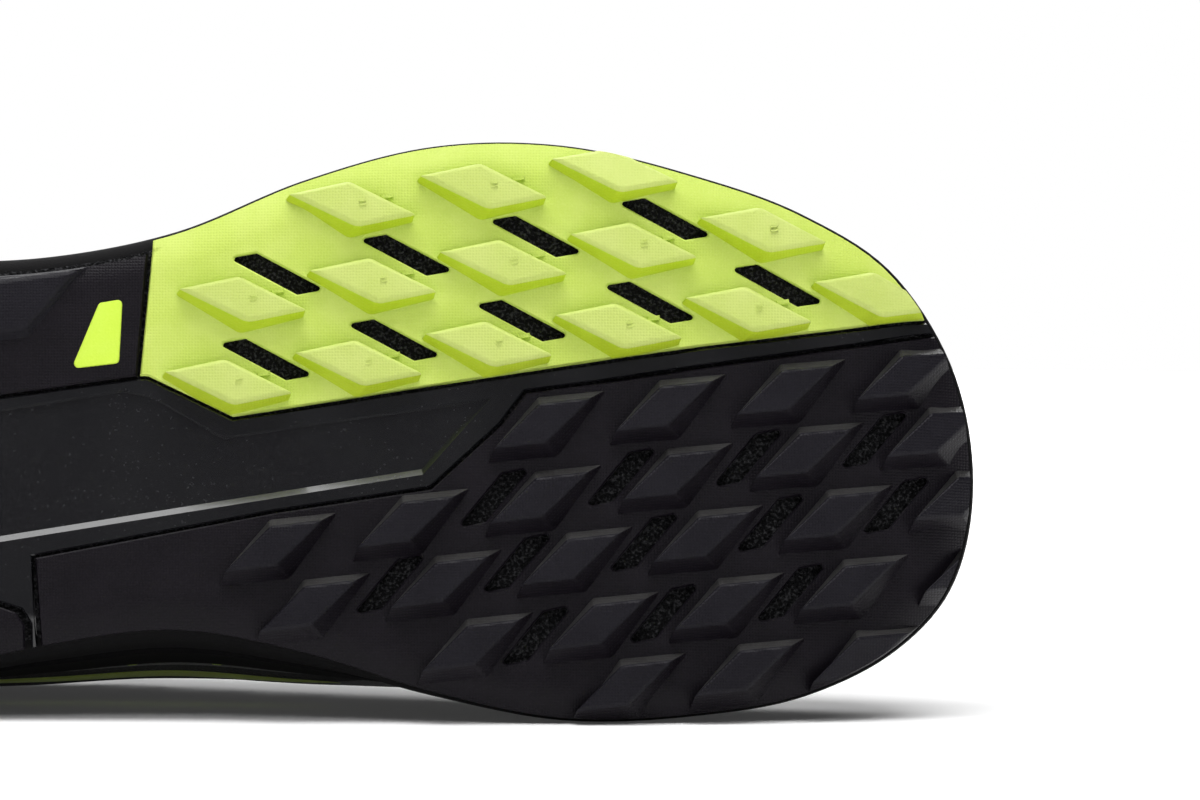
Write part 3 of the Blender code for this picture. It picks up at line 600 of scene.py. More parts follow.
def clothFinish(name, dark, light, weave):  # an open knit with small eyes, in the cloth's own millimetres
    finish = Finish(name, Specular_IOR_Level=0.2, Sheen_Weight=weave["sheen"], Sheen_Roughness=0.5)
    place = finish.mark("cloth", vector=True)
    x, y, _ = finish.parts(place)
    turn = 2 * math.pi / weave["eye"]
    first = finish.maths("SINE", (x + y) * turn)
    second = finish.maths("SINE", (x - y) * turn)
    eye = (first * second).between(weave["open"], weave["open"] + 0.35)
    thread = finish.maths("SINE", y * (2 * math.pi / weave["thread"]))
    fuzz = finish.noise(place, 0.35, 2.0)
    colour = finish.mix(eye, finish.mix(fuzz, light, dark), (0.003, 0.003, 0.004))
    roughness = 0.82 + fuzz * 0.15
    height = thread * 0.25 - eye * 1.2 + fuzz * 0.4
    # the lime band's colour is painted darker, olive, as the shade it lies in
    if "film" in weave:  # thin film welded over the knit, and one lime band
        film, band = (finish.mark(key).between(0.46, 0.54) for key in ("film", "band"))
        colour = finish.mix(band, finish.mix(film, colour, weave["film"]), weave["band"])
        bare = (1 - film) * (1 - band)
        roughness = roughness * bare + (0.44 + fuzz * 0.08) * (1 - bare)
        height = height * (bare * 0.85 + 0.15)
    finish.set("Base Color", colour)
    finish.set("Roughness", roughness)
    finish.set("Normal", finish.bump(height, weave["depth"]))
    return finish.material


def tapeFinish(name, dark, light, rib):  # flat woven tape: ribs across and a pick along
    finish = Finish(name, Specular_IOR_Level=0.25, Sheen_Weight=0.15, Sheen_Roughness=0.5)
    place = finish.mark("cloth", vector=True)
    x, y, _ = finish.parts(place)
    along = finish.maths("SINE", (x + finish.maths("ABSOLUTE", y) * 0.8) * (2 * math.pi / rib))
    across = finish.maths("SINE", y * (2 * math.pi / (rib * 0.7)))
    fuzz = finish.noise(place, 0.3, 2.0)
    weave = along * 0.5 + across * 0.3
    finish.set("Base Color", finish.mix((weave + fuzz).between(0.0, 1.2), dark, light))
    finish.set("Roughness", 0.78 + fuzz * 0.15)
    finish.set("Normal", finish.bump(weave + fuzz * 0.4, 0.25))
    return finish.material


limeGrain = {"specular": 0.25, "speck": 0.35, "roughness": 0.56, "uneven": 0.12, "dots": 0.58, "depth": 0.07}
blackGrain = {"specular": 0.12, "speck": 0.5, "roughness": 0.42, "uneven": 0.16, "dots": 0.58, "depth": 0.09}
# grain for the painted highlight on black lug walls that face up: glossier than the rest
highlightGrain = {**blackGrain, "specular": 0.35, "roughness": 0.4}
filmGrain = {"specular": 0.4, "speck": 0.3, "roughness": 0.42, "uneven": 0.1, "dots": 0.4, "depth": 0.03}
rubbers = {
    "limeSheet": ((0.51, 0.64, 0.105), (0.56, 0.68, 0.14), (0.60, 0.71, 0.18), limeGrain),
    "limeLug": ((0.51, 0.61, 0.145), (0.54, 0.63, 0.17), (0.58, 0.66, 0.21), limeGrain),
    # limeShadedWall: the same lime rubber painted darker and greener, as the shade on the lug walls
    "limeShadedWall": ((0.42, 0.55, 0.018), (0.46, 0.59, 0.030), (0.50, 0.63, 0.05), limeGrain),
    "limeInk": ((0.58, 0.80, 0.06), (0.60, 0.82, 0.08), (0.66, 0.85, 0.12), limeGrain),
    "blackSheet": ((0.0046, 0.0036, 0.0056), (0.0062, 0.0048, 0.0074), (0.013, 0.0105, 0.015), blackGrain),
    # blackRaisedLit: the same black rubber as blackSheet, painted lighter on lug tops and the raised block, as
    # the light they catch
    "blackRaisedLit": ((0.0070, 0.0062, 0.0092), (0.0092, 0.0084, 0.0120), (0.017, 0.0155, 0.021), blackGrain),
    # blackHighlightWall: the black rubber painted lighter, a painted highlight on lug walls facing the light
    # above
    "blackHighlightWall": ((0.022, 0.021, 0.021), (0.034, 0.033, 0.033), (0.070, 0.069, 0.068), highlightGrain),
    "film": ((0.012, 0.012, 0.013), (0.016, 0.016, 0.018), (0.022, 0.022, 0.024), filmGrain),
}
foams = {
    "foam": ((0.0025, 0.0025, 0.003), (0.045, 0.045, 0.048), {"crumb": 0.6, "depth": 0.6}),
    "foamSkin": ((0.0022, 0.0020, 0.0023), (0.0045, 0.0042, 0.0048), {"crumb": 0.35, "depth": 0.06}),
}
cloths = {
    "knit": ((0.003, 0.003, 0.0035), (0.009, 0.009, 0.010),
             {"eye": 3.2, "open": 0.35, "thread": 0.5, "depth": 0.35, "sheen": 0.12,
              # band: a lime band, its colour painted olive as the shade it lies in
              "film": (0.013, 0.013, 0.015), "band": (0.32, 0.42, 0.03)}),
    "lining": ((0.012, 0.012, 0.013), (0.028, 0.028, 0.031),
               {"eye": 1.3, "open": 0.5, "thread": 0.42, "depth": 0.2, "sheen": 0.12}),
}
tapes = {
    "lace": ((0.016, 0.016, 0.018), (0.065, 0.065, 0.07), 0.9),
    "webbing": ((0.012, 0.012, 0.014), (0.04, 0.04, 0.044), 1.3),
    "thread": ((0.02, 0.02, 0.022), (0.07, 0.07, 0.075), 0.4),
    "limeThread": ((0.30, 0.42, 0.03), (0.62, 0.82, 0.12), 0.4),
}
finishes = {"smokeGloss": glossFinish("smokeGloss", (0.008, 0.008, 0.0095))}
for kind, looks in ((rubberFinish, rubbers), (foamFinish, foams), (clothFinish, cloths), (tapeFinish, tapes)):
    finishes.update({name: kind(name, *look) for name, look in looks.items()})
print("finishes:", len(finishes))


# Tread

Row = namedtuple("Row", "along across stepAlong stepAcross count")
Face = namedtuple("Face", "first second drafts")

lateralSeam = [(46.9, -62), (46.75, -41), (46.0, -18.6), (46.6, -18.6), (52.1, -11.5), (82.3, -24.1),
               (91.3, -27.6), (99.0, -31.0), (104, -33)]
medialSeam = [(39.9, 36), (39.3, 12.6), (54.8, 4.8), (64.9, 0.7), (69.4, -10.4), (71.0, -16.1),
              (75.8, -17.9), (84.8, -21.8), (92.6, -25.2), (98.0, -27.9), (104, -30.5)]
blockSeam = [(46.0, -18.6), (37.1, -15.3), (24.8, -10.2), (23.6, -13), (23.6, -50)]
heelSeam = [(23.0, -50), (23.0, -11.6), (20.2, -6.4), (20.2, 7.6), (22.8, 14.6), (37.0, 20.9),
            (38.2, 22.0), (38.8, 24.2), (38.8, 40)]
windowPane = [(24.4, -7.0), (37.1, -13.1), (45.0, -16.5), (46.9, -15.4), (51.5, -8.3), (59.1, -11.3),
              (68.8, -15.0), (64.4, -1.7), (37.1, 10.0), (23.8, 14.0), (21.8, 6.4), (21.8, -3.4)]

lateralForefoot = {
    "node": "outsole_lateral_forefoot", "slot": "lime_rubber", "finishes": ["limeSheet", "limeLug", "limeShadedWall"],
    "seam": lateralSeam, "closing": [(104, -80), (46.9, -80)],
    "lugs": [Row(55.75, -50.4, 8.50, -3.1, 3), Row(48.7, -33.8, 8.42, -3.2, 5), Row(47.8, -19.4, 8.40, -3.3, 6)],
    "lug": Face((3.85, -1.97), (4.45, 5.6), ((-0.45, 0.7), (-0.03, -0.4), (-0.2, 1.2), (-0.6, 2.1))),
    "slots": [Row(51.75, -39.4, 8.37, -3.3, 4), Row(51.05, -24.5, 8.28, -3.4, 5)],
    "opening": Face((1.86, -0.90), (4.50, 6.45), None),
    "lugRound": 0.8, "edge": 0.3, "worn": None,
}
medialForefoot = {
    "node": "outsole_medial_forefoot", "slot": "black_rubber",
    "finishes": ["blackSheet", "blackRaisedLit", "blackSheet", "blackHighlightWall"],
    "seam": medialSeam, "closing": [(106, 60), (39.9, 60)],
    "lugs": [Row(69.0, -6.1, 7.85, -3.2, 4), Row(51.7, 15.2, 8.55, -4.2, 6), Row(53.9, 25.6, 8.47, -4.1, 6),
             Row(64.4, 32.4, 8.13, -3.7, 5), Row(74.3, 39.2, 7.66, -2.8, 3)],
    "lug": Face((2.93, -7.5), (3.27, -1.07), ((-0.47, 2.5), (-0.1, -1.52), (1, -1.7), (0.8, 2.32))),
    "slots": [Row(66.6, 7.6, 8.23, -3.7, 4), Row(59.9, 22.6, 8.20, -3.7, 5), Row(69.3, 31.5, 8.25, -4.0, 3)],
    "opening": Face((1.87, -1.07), (2.9, -9.46), None),
    # the index under worn is the painted highlight finish for lug walls facing up
    "lugRound": 0.5, "edge": 0.3, "worn": 3,
}
heelPlate = {
    "node": "outsole_heel", "slot": "black_rubber", "finishes": ["blackSheet", "blackRaisedLit"],
    "seam": heelSeam, "closing": [(38.8, 80), (-10, 80), (-10, -80), (23.0, -80)],
    "lugs": [Row(21.4, -33.5, -8.5, 0.0, 2), Row(19.6, -18.6, -8.5, 0.0, 2), Row(17.8, -4.0, -8.5, 0.0, 2)],
    "lug": Face((-3.8, -1.16), (-4, 5.89), ((0.6, 0.45), (0.03, -0.8), (-0.47, 2.14), (0.47, 3.39))),
    "moreLugs": [Row(18.6, 19.0, -8.5, -0.4, 2), Row(29.5, 32.0, -8.5, 0.6, 3)],
    "moreLug": Face((-2.93, -7.14), (-3.27, 0.89), ((0.47, 2.5), (0.1, -1.52), (-1, -1.52), (-0.8, 2.32))),
    "slots": [], "opening": None, "lugRound": 0.5, "edge": 0.3, "worn": None,
}
midfootBlock = {
    "node": "outsole_lateral_midfoot", "slot": "black_rubber", "finishes": ["blackSheet", "blackRaisedLit", "limeInk"],
    "form": [(37.0, -35), (41.6, -36.6), (38.6, -27.0), (32.0, -24.8), (32.0, -33.2)],
    "inset": 2.6, "formFoot": 2.2,
    "patch": [(43.4, -31.6), (45.0, -32.3), (44.8, -20.9), (41.6, -19.9)],
}
midfootWindow = {
    "node": "midfoot_window", "slot": "smoke_gloss", "recess": 0.7, "sunk": 0.9,
    "bevels": [0.45] * 6 + [1.0] + [1.2] * 2 + [0.9] * 3,
}


def repeated(rows, face):  # the corners of each lug or slot of some rows
    first, second = inPlan([face.first, face.second])
    for row in rows:
        for i in range(row.count):
            start = inPlan([(row.along + i * row.stepAlong, row.across + i * row.stepAcross)])[0]
            yield [start, start + first, start + first + second, start + second]


def flatSheet(low, high, inset=0.0):
    rings = []
    for height, depths in ((low, (1, 0.75, 0.5, 0.25, 0)), (high, (0, 0.25, 0.5, 0.75, 1))):
        for depth in depths:
            flat = outline(-(inset + (shoe["rimWidth"] - inset) * depth))
            rings.append(np.column_stack([flat, np.full(len(flat), height)]))
    return solidLoft(rings)


def outlineTool(inset=0.0):
    flat = outline(-inset)
    return scratchObject(*solidLoft([np.column_stack([flat, np.full(len(flat), z)]) for z in (-4.0, 8.0)]))


def chamferedPrism(corners, edge, low, high, outwards):  # its mouth at low opens or closes by edge
    mouth = grown(corners, [edge if outwards else -edge] * len(corners))
    rings = [(mouth, low - 6.0), (mouth, low), (corners, low + edge), (corners, high)]
    count = len(corners)
    points = [(*p, z) for ring, z in rings for p in ring]
    faces = ringFaces(4, count) + [tuple(range(count))[::-1], tuple(range(3 * count, 4 * count))]
    return points, faces


def lugSolids(rows, face, planCorners, settings):
    root = shoe["lugHeight"] + 0.5
    drafts = [draft * root / shoe["lugHeight"] for draft in inPlan(face.drafts)]
    parts = []
    for corners in repeated(rows, face):
        foot = [corner + draft for corner, draft in zip(corners, drafts)]
        parts.append((*prism(corners, 0, root, foot), 1))
    points, faces, _ = joinedParts(parts)
    lugs = eased(scratchObject(points, faces), settings["lugRound"], 3)
    combined(lugs, "INTERSECT", outlineTool())
    combined(lugs, "INTERSECT", scratchObject(*prism(planCorners, -4.0, 14.0)))
    points, faces, _ = taken(lugs, 1)
    # walls take the lime finish painted as shade, where the plate has one
    wall = settings["finishes"].index("limeShadedWall") if "limeShadedWall" in settings["finishes"] else 0
    kinds = []
    for skin in faces:
        corners = points[list(skin)]
        across = np.cross(corners[1] - corners[0], corners[2] - corners[0])
        # walls facing -y, up towards the light, get the painted highlight finish where worn names one
        upper = across[1] < -0.6 * np.linalg.norm(across)
        top = corners[:, 2].max() < settings["lugRound"] * 1.3
        kinds.append(1 if top else settings["worn"] if upper and settings["worn"] else wall)
    return points, faces, kinds


def smallBar(centre, run, width, height, top):  # a low bar with sloping ends
    run = np.asarray(run, dtype=float)
    side = unit(np.array([run[1], -run[0]])) * width
    corners = [centre - run - side, centre + run - side, centre + run + side, centre - run + side]
    cap = [centre + (corner - centre) * 0.82 for corner in corners]
    return prism(cap, top - height, top + 0.3, corners)


def bentPiece(name, parts, settings, sharp=40):
    points, faces, kinds = joinedParts(parts)
    bent = points.copy()
    bent[:, 2] += lift(points[:, 0], points[:, 1])
    materials = [finishes[key] for key in settings["finishes"]]
    made = asPiece(name, bent, faces, materials, kinds, {"worn": points}, sharp=sharp, weighted=True)
    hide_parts(settings["node"])
    return made


def treadPlate(name, settings, extras=()):
    lowest, edge = shoe["lugHeight"], settings["edge"]
    seam = settings["seam"]
    corners = inPlan(seam + settings["closing"])
    distances = [-shoe["seam"] / 2] * (len(seam) - 1) + [0.0] * (len(settings["closing"]) + 1)
    corners = grown(corners, distances)
    sheet = scratchObject(*flatSheet(lowest, lowest + shoe["rubber"]))
    combined(sheet, "INTERSECT", scratchObject(*chamferedPrism(corners, edge, lowest, 14.0, False)))
    if settings["slots"]:
        openings = [roundCorners(c, 0.6) for c in repeated(settings["slots"], settings["opening"])]
        points, faces, _ = joinedParts([(*chamferedPrism(c, edge, lowest, 9.0, True), 0) for c in openings])
        combined(sheet, "DIFFERENCE", scratchObject(points, faces))
    parts = [taken(sheet, 0), lugSolids(settings["lugs"], settings["lug"], corners, settings)]
    if "moreLugs" in settings:
        parts.append(lugSolids(settings["moreLugs"], settings["moreLug"], corners, settings))
    return bentPiece(name, parts + list(extras), settings)


def lugMarks(settings):  # the small wear marks: two dashes on each lug and a pip beside it
    marks = []
    for a, b, c, d in repeated(settings["lugs"], settings["lug"]):
        across, down = b - a, d - a
        spot = a + across * 0.62 + down * 0.52
        for offset in (-0.35, 0.4):
            marks.append((*smallBar(spot + np.array([0.15, offset]), (0.75, -0.12), 0.16, 0.16, 0.0), 1))
        pip = b + down * 0.45 + np.array([1.3, -0.3])
        marks.append((*smallBar(pip, (1.3, -0.25), 0.5, 0.6, shoe["lugHeight"]), 0))
    inside = [insideBy(np.array([part[0][0][:2]]))[0] > 5 for part in marks]
    return [part for part, keep in zip(marks, inside) if keep]


def blockPlate(name, settings):
    seam = shoe["seam"]
    corners = grown(inPlan(blockSeam + [(46.85, -62), (46.68, -41)]), [-seam / 2] * 4 + [0.0, -0.3, -0.3])
    low = shoe["lugHeight"]
    sheet = scratchObject(*flatSheet(low, low + shoe["rubber"], settings["inset"]))
    combined(sheet, "INTERSECT", scratchObject(*chamferedPrism(corners, 0.35, low, 14.0, False)))
    parts = [taken(sheet, 0)]
    form = inPlan(settings["form"])
    raised = scratchObject(*prism(form, low / 2, low + 0.5, grown(form, [settings["formFoot"]] * len(form))))
    combined(raised, "INTERSECT", outlineTool(settings["inset"]))
    parts.append(taken(eased(raised, 0.6, 3), 1))
    patch = roundCorners(inPlan(settings["patch"]), 1.0)
    low = low - 0.35
    parts.append((*prism(grown(patch, [-0.3] * len(patch)), low, low + 0.6, patch), 2))
    return bentPiece(name, parts, settings)


def windowPlate(name, settings):
    lateral = [(24.4, -10.4)] + blockSeam[1::-1] + lateralSeam[3:-1]
    medial = medialSeam[-2:0:-1]
    back = [(39.75, 34), (39.05, 34), (39.05, 24.2), (38.5, 21.8), (37.2, 20.7), (22.8, 14.6), (20.2, 7.6),
            (20.2, -6.4), (23.0, -11.6)]
    corners = inPlan(lateral + medial + back)
    face = shoe["lugHeight"] + settings["recess"]
    sheet = scratchObject(*flatSheet(face, shoe["lugHeight"] + shoe["rubber"]))
    corners = grown(corners, [-shoe["seam"] / 2] * len(corners))
    combined(sheet, "INTERSECT", scratchObject(*chamferedPrism(corners, 0.3, face, 14.0, False)))
    pane = inPlan(windowPane)
    floor, mouth = face + settings["sunk"], face - settings["sunk"]
    inner, outer = (grown(pane, [side * bevel for bevel in settings["bevels"]]) for side in (-1, 1))
    combined(sheet, "DIFFERENCE", scratchObject(*prism(outer, mouth, floor, inner)))
    return bentPiece(name, [taken(sheet, 0)], {"finishes": ["smokeGloss"], **settings}, sharp=18)


treadPlate("forefootLimePlate", lateralForefoot, lugMarks(lateralForefoot))
treadPlate("forefootBlackPlate", medialForefoot)
treadPlate("heelBlackPlate", heelPlate)
blockPlate("midfootBlock", midfootBlock)
windowPlate("midfootWindow", midfootWindow)
print("tread: five plates")


# Foam

foamBody = {
    "around": 288, "rows": 26, "rim": 0.8, "shares": (1, 0.75, 0.5), "nearRim": 1.6, "bed": (0, 4.5, 9),
    "wall": [(0.0, -0.8), (0.06, 0.5), (0.15, 0.9), (0.42, 0.5), (0.46, -0.4), (0.53, -0.4), (0.57, 0.4),
             (0.92, 0.0), (1.0, -1.0)],
}


def foamEdge(at, flat):
    return at.stack + spring(flat[:, 0])


def foamBed(at, inset, above):
    flat = at.foot + at.out * (at.flare - inset)[:, None]
    depth = min(max((inset - shoe["ledge"] - shoe["baseWall"]) / shoe["dishWidth"], 0), 1)
    return np.column_stack([flat, foamEdge(at, flat) - shoe["dish"] * depth * (2 - depth) + above])


def foam(settings):
    count = settings["around"]
    at = lastAt(np.arange(count) / count)
    bottom = shoe["lugHeight"] + shoe["rubber"] + shoe["gap"]
    insets = [shoe["rimWidth"] * share for share in settings["shares"]] + [settings["nearRim"]]
    rings = []
    for inset in insets:
        flat = at.foot - at.out * inset
        rings.append(np.column_stack([flat, bottom + lift(flat[:, 0], flat[:, 1])]))
    low = at.foot - at.out * settings["rim"]
    lowHeight = bottom + lift(low[:, 0], low[:, 1])
    ups, outs = zip(*settings["wall"])
    levels = np.unique(np.concatenate([np.linspace(0, 1, settings["rows"]), ups]))
    for level in levels:
        flat = at.foot + at.out * (at.flare * level + np.interp(level, ups, outs))[:, None]
        rings.append(np.column_stack([flat, lowHeight + level * (foamEdge(at, flat) - lowHeight)]))
    shelf = shoe["ledge"] + shoe["baseWall"] + shoe["gap"]
    for inset in (shoe["ledge"] - shoe["gap"], *(shelf + more for more in settings["bed"])):
        rings.append(foamBed(at, inset, 0))
    points, faces = solidLoft(rings)
    kinds = [0 if max(face) < len(insets) * count else 1 for face in faces]
    made = asPiece("foamMidsole", points, faces, [finishes["foam"], finishes["foamSkin"]], kinds)
    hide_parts("midsole")
    return made


foam(foamBody)


liner = {"gaps": 4, "edge": 0.3, "under": (1, 0.75, 0.5, 0.25, 0), "over": (0.06, 0.25, 0.5, 0.75, 1)}


def sockLiner(settings):
    reach = shoe["dishWidth"]
    edge = shoe["ledge"] + shoe["baseWall"] + settings["gaps"] * shoe["gap"]
    rings = [foamBed(soleEdge, edge + share * reach, shoe["gap"]) for share in settings["under"]]
    rings.append(foamBed(soleEdge, edge - settings["edge"], shoe["insole"] * 0.5))
    rings += [foamBed(soleEdge, edge + share * reach, shoe["insole"]) for share in settings["over"]]
    points, faces = solidLoft(rings)
    cloth = np.column_stack([points[:, :2], np.zeros(len(points))])
    made = asPiece("sockLiner", points, faces, [finishes["lining"]], marks={"cloth": cloth}, sharp=60)
    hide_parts("insole")


sockLiner(liner)
print("foam and sock liner")


# Upper

upperLook = {  # the overlays' edges are (section, how much it slants with up) or heights up the wall
    "around": 480, "up": 110, "down": 24, "lip": (0.12, 0.3, 0.5, 0.7, 0.88), "film": 0.55,
    "creases": [(205, 0.50), (216, 0.62), (227, 0.45)],  # where along, how deep in millimetres
    "slant": 12, "spread": 2.6,
    "rand": 0.105, "toe": (12.1, 1.1), "toeTop": 0.47, "heel": (3.7, 1.6), "heelTop": (0.56, 0.04),
    "stay": (6.8, 0.8), "quarterFront": (7.0, 1.7), "quarterBack": (8.4, 2.3), "quarterTop": 0.84,
    "collar": (6.8, 0.86), "band": (6.6, 1.8), "bandUp": (0.235, 0.05),
}


def smoothStep(value, width):
    share = np.clip(value / width * 0.5 + 0.5, 0, 1)
    return share * share * (3 - 2 * share)


def upperZones(turn, up, look):  # how far each overlay covers, from 0 to 1
    section = sectionOf(turn)
    medial = np.mod(turn, 1.0) > 0.5
    rand = smoothStep(look["rand"] - up, 0.03)
    toe = np.minimum(smoothStep(section - look["toe"][0] - look["toe"][1] * up, 0.3),
                     smoothStep(look["toeTop"] - up, 0.04))
    heel = np.minimum(smoothStep(look["heel"][0] - look["heel"][1] * up - section, 0.3),
                      smoothStep(look["heelTop"][0] - look["heelTop"][1] * section - up, 0.04))
    stay = np.minimum(smoothStep(section - look["stay"][0], 0.2), smoothStep(up - look["stay"][1], 0.03))
    front = section - look["quarterFront"][0] - look["quarterFront"][1] * (1 - up)
    back = look["quarterBack"][0] + look["quarterBack"][1] * (1 - up) - section
    quarter = np.minimum.reduce([smoothStep(front, 0.3), smoothStep(back, 0.3),
                                 smoothStep(look["quarterTop"] - up, 0.04)])
    collar = np.minimum(smoothStep(look["collar"][0] - section, 0.15), smoothStep(up - look["collar"][1], 0.02))
    reach = np.sqrt(np.clip(1 - ((section - look["band"][0]) / look["band"][1])**2, 0, 1))
    middle, half = look["bandUp"]
    band = medial * smoothStep(half * reach - np.abs(up - middle), 0.03) * (reach > 0)
    film = np.maximum.reduce([rand, toe, heel, stay, quarter])
    return film, collar, band


def upper(settings):
    count = settings["around"]
    turns = np.arange(count) / count
    rings, marks = [], []
    none, whole = np.zeros(count), np.ones(count)
    for up in np.linspace(0, 1, settings["up"]):
        level = np.full(count, up)
        film, collar, band = upperZones(turns, level, settings)
        surface = shell(turns, level)
        along = surface[:, 0] - settings["slant"] * (up - 0.7)
        fold = sum(-depth * np.exp(-((along - where) / settings["spread"])**2)
                   for where, depth in settings["creases"])
        fold = fold * np.clip((up - 0.3) / 0.2, 0, 1) * np.clip((0.82 - up) / 0.05, 0, 1)
        raised = settings["film"] * np.maximum(film, band) + fold
        rings.append(surface + shellNormal(turns, level) * raised[:, None])
        marks.append((film, collar, band))
    outer, thick = rings[-1], wallAt(turns, whole)
    inner = shell(turns, whole) - shellNormal(turns, whole) * thick[:, None]
    for share in settings["lip"]:
        arc = outer + (inner - outer) * (0.5 - 0.5 * math.cos(math.pi * share))
        arc[:, 2] += thick * 0.3 * math.sin(math.pi * share)
        rings.append(arc)
        marks.append((film, collar, none))
    for up in np.linspace(1, 0, settings["down"]):
        level = np.full(count, up)
        rings.append(shell(turns, level) - shellNormal(turns, level) * wallAt(turns, level)[:, None])
        marks.append((none, whole, none))
    rings[-1][:, 2] = rings[0][:, 2]
    points = np.concatenate(rings)
    faces = ringFaces(len(rings), count, closed=True)
    film, collar, band = (np.concatenate(values) for values in zip(*marks))
    length = np.linalg.norm(np.diff(np.array(rings), axis=0), axis=2)
    high = np.concatenate([np.zeros((1, count)), np.cumsum(length, axis=0)]).ravel()
    cloth = np.column_stack([np.tile(turns * 720, len(rings)), high, np.zeros(len(points))])
    corner = np.array(faces)[:, 0]
    kinds = np.zeros(len(faces), dtype=int)
    kinds[collar[corner] > 0.5] = 1
    kinds[corner >= (settings["up"] + len(settings["lip"])) * count] = 1
    made = asPiece("upperShell", points, faces, [finishes["knit"], finishes["lining"]], kinds,
                   {"cloth": cloth, "film": film, "band": band}, sharp=None)
    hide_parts("upper")


upper(upperLook)


# Seams and stitches

def stitchTemplate(long, thick):  # one stitch: six-sided, pointed at both ends
    rings = [(-0.5, 0.35), (-0.25, 1.0), (0.25, 1.0), (0.5, 0.35)]
    points = [(x * long, math.cos(a) * r * thick, math.sin(a) * r * thick)
              for x, r in rings for a in np.arange(6) * math.pi / 3]
    faces = ringFaces(4, 6) + [tuple(range(6))[::-1], tuple(range(18, 24))]
    return np.array(points), faces


def stitchRow(turns, up, look, off, kind=0):  # a row at one height
    path = shell(turns, np.full(len(turns), up))
    along = runAlong(path)
    places = np.arange(look["pitch"] / 2, along[-1], look["pitch"])
    t, v = np.interp(places, along, turns), np.full(len(places), up)
    centre, normal = shell(t, v), shellNormal(t, v)
    ahead, behind = (np.column_stack([np.interp(places + way, along, path[:, k]) for k in range(3)])
                     for way in (0.5, -0.5))
    run = unit(ahead - behind)
    side = np.cross(normal, run)
    shape, faces = stitchTemplate(look["long"], look["thick"])
    parts = []
    for c, n, r, s in zip(centre, normal, run, side):
        parts.append((c + n * off + shape @ np.array([r, s, n]), faces, kind))
    return parts


stitchLook = {
    "fine": {"pitch": 3.0, "long": 2.3, "thick": 0.26}, "lime": {"pitch": 17.0, "long": 2.6, "thick": 0.4},
    "stay": 6.95, "stayUp": (0.822, 0.845), "toe": 12.6, "toeUp": (0.423, 0.447),
    "edge": (4.6, 9.6), "edgeUp": 0.05, "onFilm": 0.6, "onKnit": 0.15, "steps": (200, 120, 90),
}


def stitches(settings):
    fine, onFilm = settings["fine"], settings["onFilm"]
    stay, toe = sectionTurn(settings["stay"]), sectionTurn(settings["toe"])
    back, front = (1 - sectionTurn(section) for section in settings["edge"])
    many, some, few = settings["steps"]
    parts = []
    for up in settings["stayUp"]:
        parts += stitchRow(np.linspace(stay, 1 - stay, many), up, fine, onFilm)
    parts += stitchRow(np.linspace(-stay, stay, many), settings["stayUp"][1], fine, settings["onKnit"])
    for up in settings["toeUp"]:
        parts += stitchRow(np.linspace(toe, 1 - toe, some), up, fine, onFilm)
    parts += stitchRow(np.linspace(front, back, few), settings["edgeUp"], settings["lime"], onFilm, 1)
    points, faces, kinds = joinedParts(parts)
    made = asPiece("upperStitches", points, faces, [finishes["thread"], finishes["limeThread"]], kinds,
                   {"cloth": points})


stitches(stitchLook)
print("upper and stitches")


# Eyelets, lace, tongue and pull loop

laceLook = {
    "pairs": 6, "sections": (7.15, 10.9), "depth": 0.88, "width": 5.5, "thick": 1.6, "clear": 2.2, "dip": 0.9,
    "ring": ((3.4, -0.2), (3.3, 0.5), (2.8, 0.8), (2.2, 0.5), (2.0, -0.1)), "hole": (2.05, 0.05),
}


def eyelets(settings):
    ring, disc = (
        np.array([(math.cos(a) * r, math.sin(a) * r, z) for r, z in profile
                  for a in np.arange(20) * math.pi / 10])
        for profile in (settings["ring"], [settings["hole"]])
    )
    parts = []
    for section in np.linspace(*settings["sections"], settings["pairs"]):
        for turn in (sectionTurn(section), 1 - sectionTurn(section)):
            t, v = np.array([turn]), np.array([settings["depth"]])
            normal = shellNormal(t, v)[0]
            run = unit(shell(t + 0.004, v) - shell(t - 0.004, v))[0]
            turned = np.array([run, np.cross(normal, run), normal])
            centre = shell(t, v)[0] + normal * 0.5
            parts.append((centre + ring @ turned, ringFaces(len(settings["ring"]), 20), 0))
            parts.append((centre + disc @ turned, [tuple(range(20))], 1))
    points, faces, kinds = joinedParts(parts)
    made = asPiece("eyelets", points, faces, [finishes["film"], finishes["foamSkin"]], kinds)


def tapeBand(path, ups, width, thick, slices=14):  # a flat tape with round edges along a path
    path, ups = np.array(path), np.array(ups)
    run = np.gradient(path, axis=0)
    side = unit(np.cross(run, ups))
    up = unit(np.cross(side, run))
    along = runAlong(path)
    angles = np.arange(slices) * 2 * math.pi / slices
    flat = np.sign(np.cos(angles)) * np.abs(np.cos(angles))**0.7 * width / 2
    tall = np.sign(np.sin(angles)) * np.abs(np.sin(angles))**0.5 * thick / 2
    points = path[:, None] + side[:, None] * flat[None, :, None] + up[:, None] * tall[None, :, None]
    points = points.reshape(-1, 3)
    cloth = np.column_stack([np.repeat(along, slices), np.tile(flat, len(path)), np.zeros(len(points))])
    faces = ringFaces(len(path), slices)
    last = (len(path) - 1) * slices
    faces += [tuple(range(slices))[::-1], tuple(range(last, last + slices))]
    return points, faces, cloth


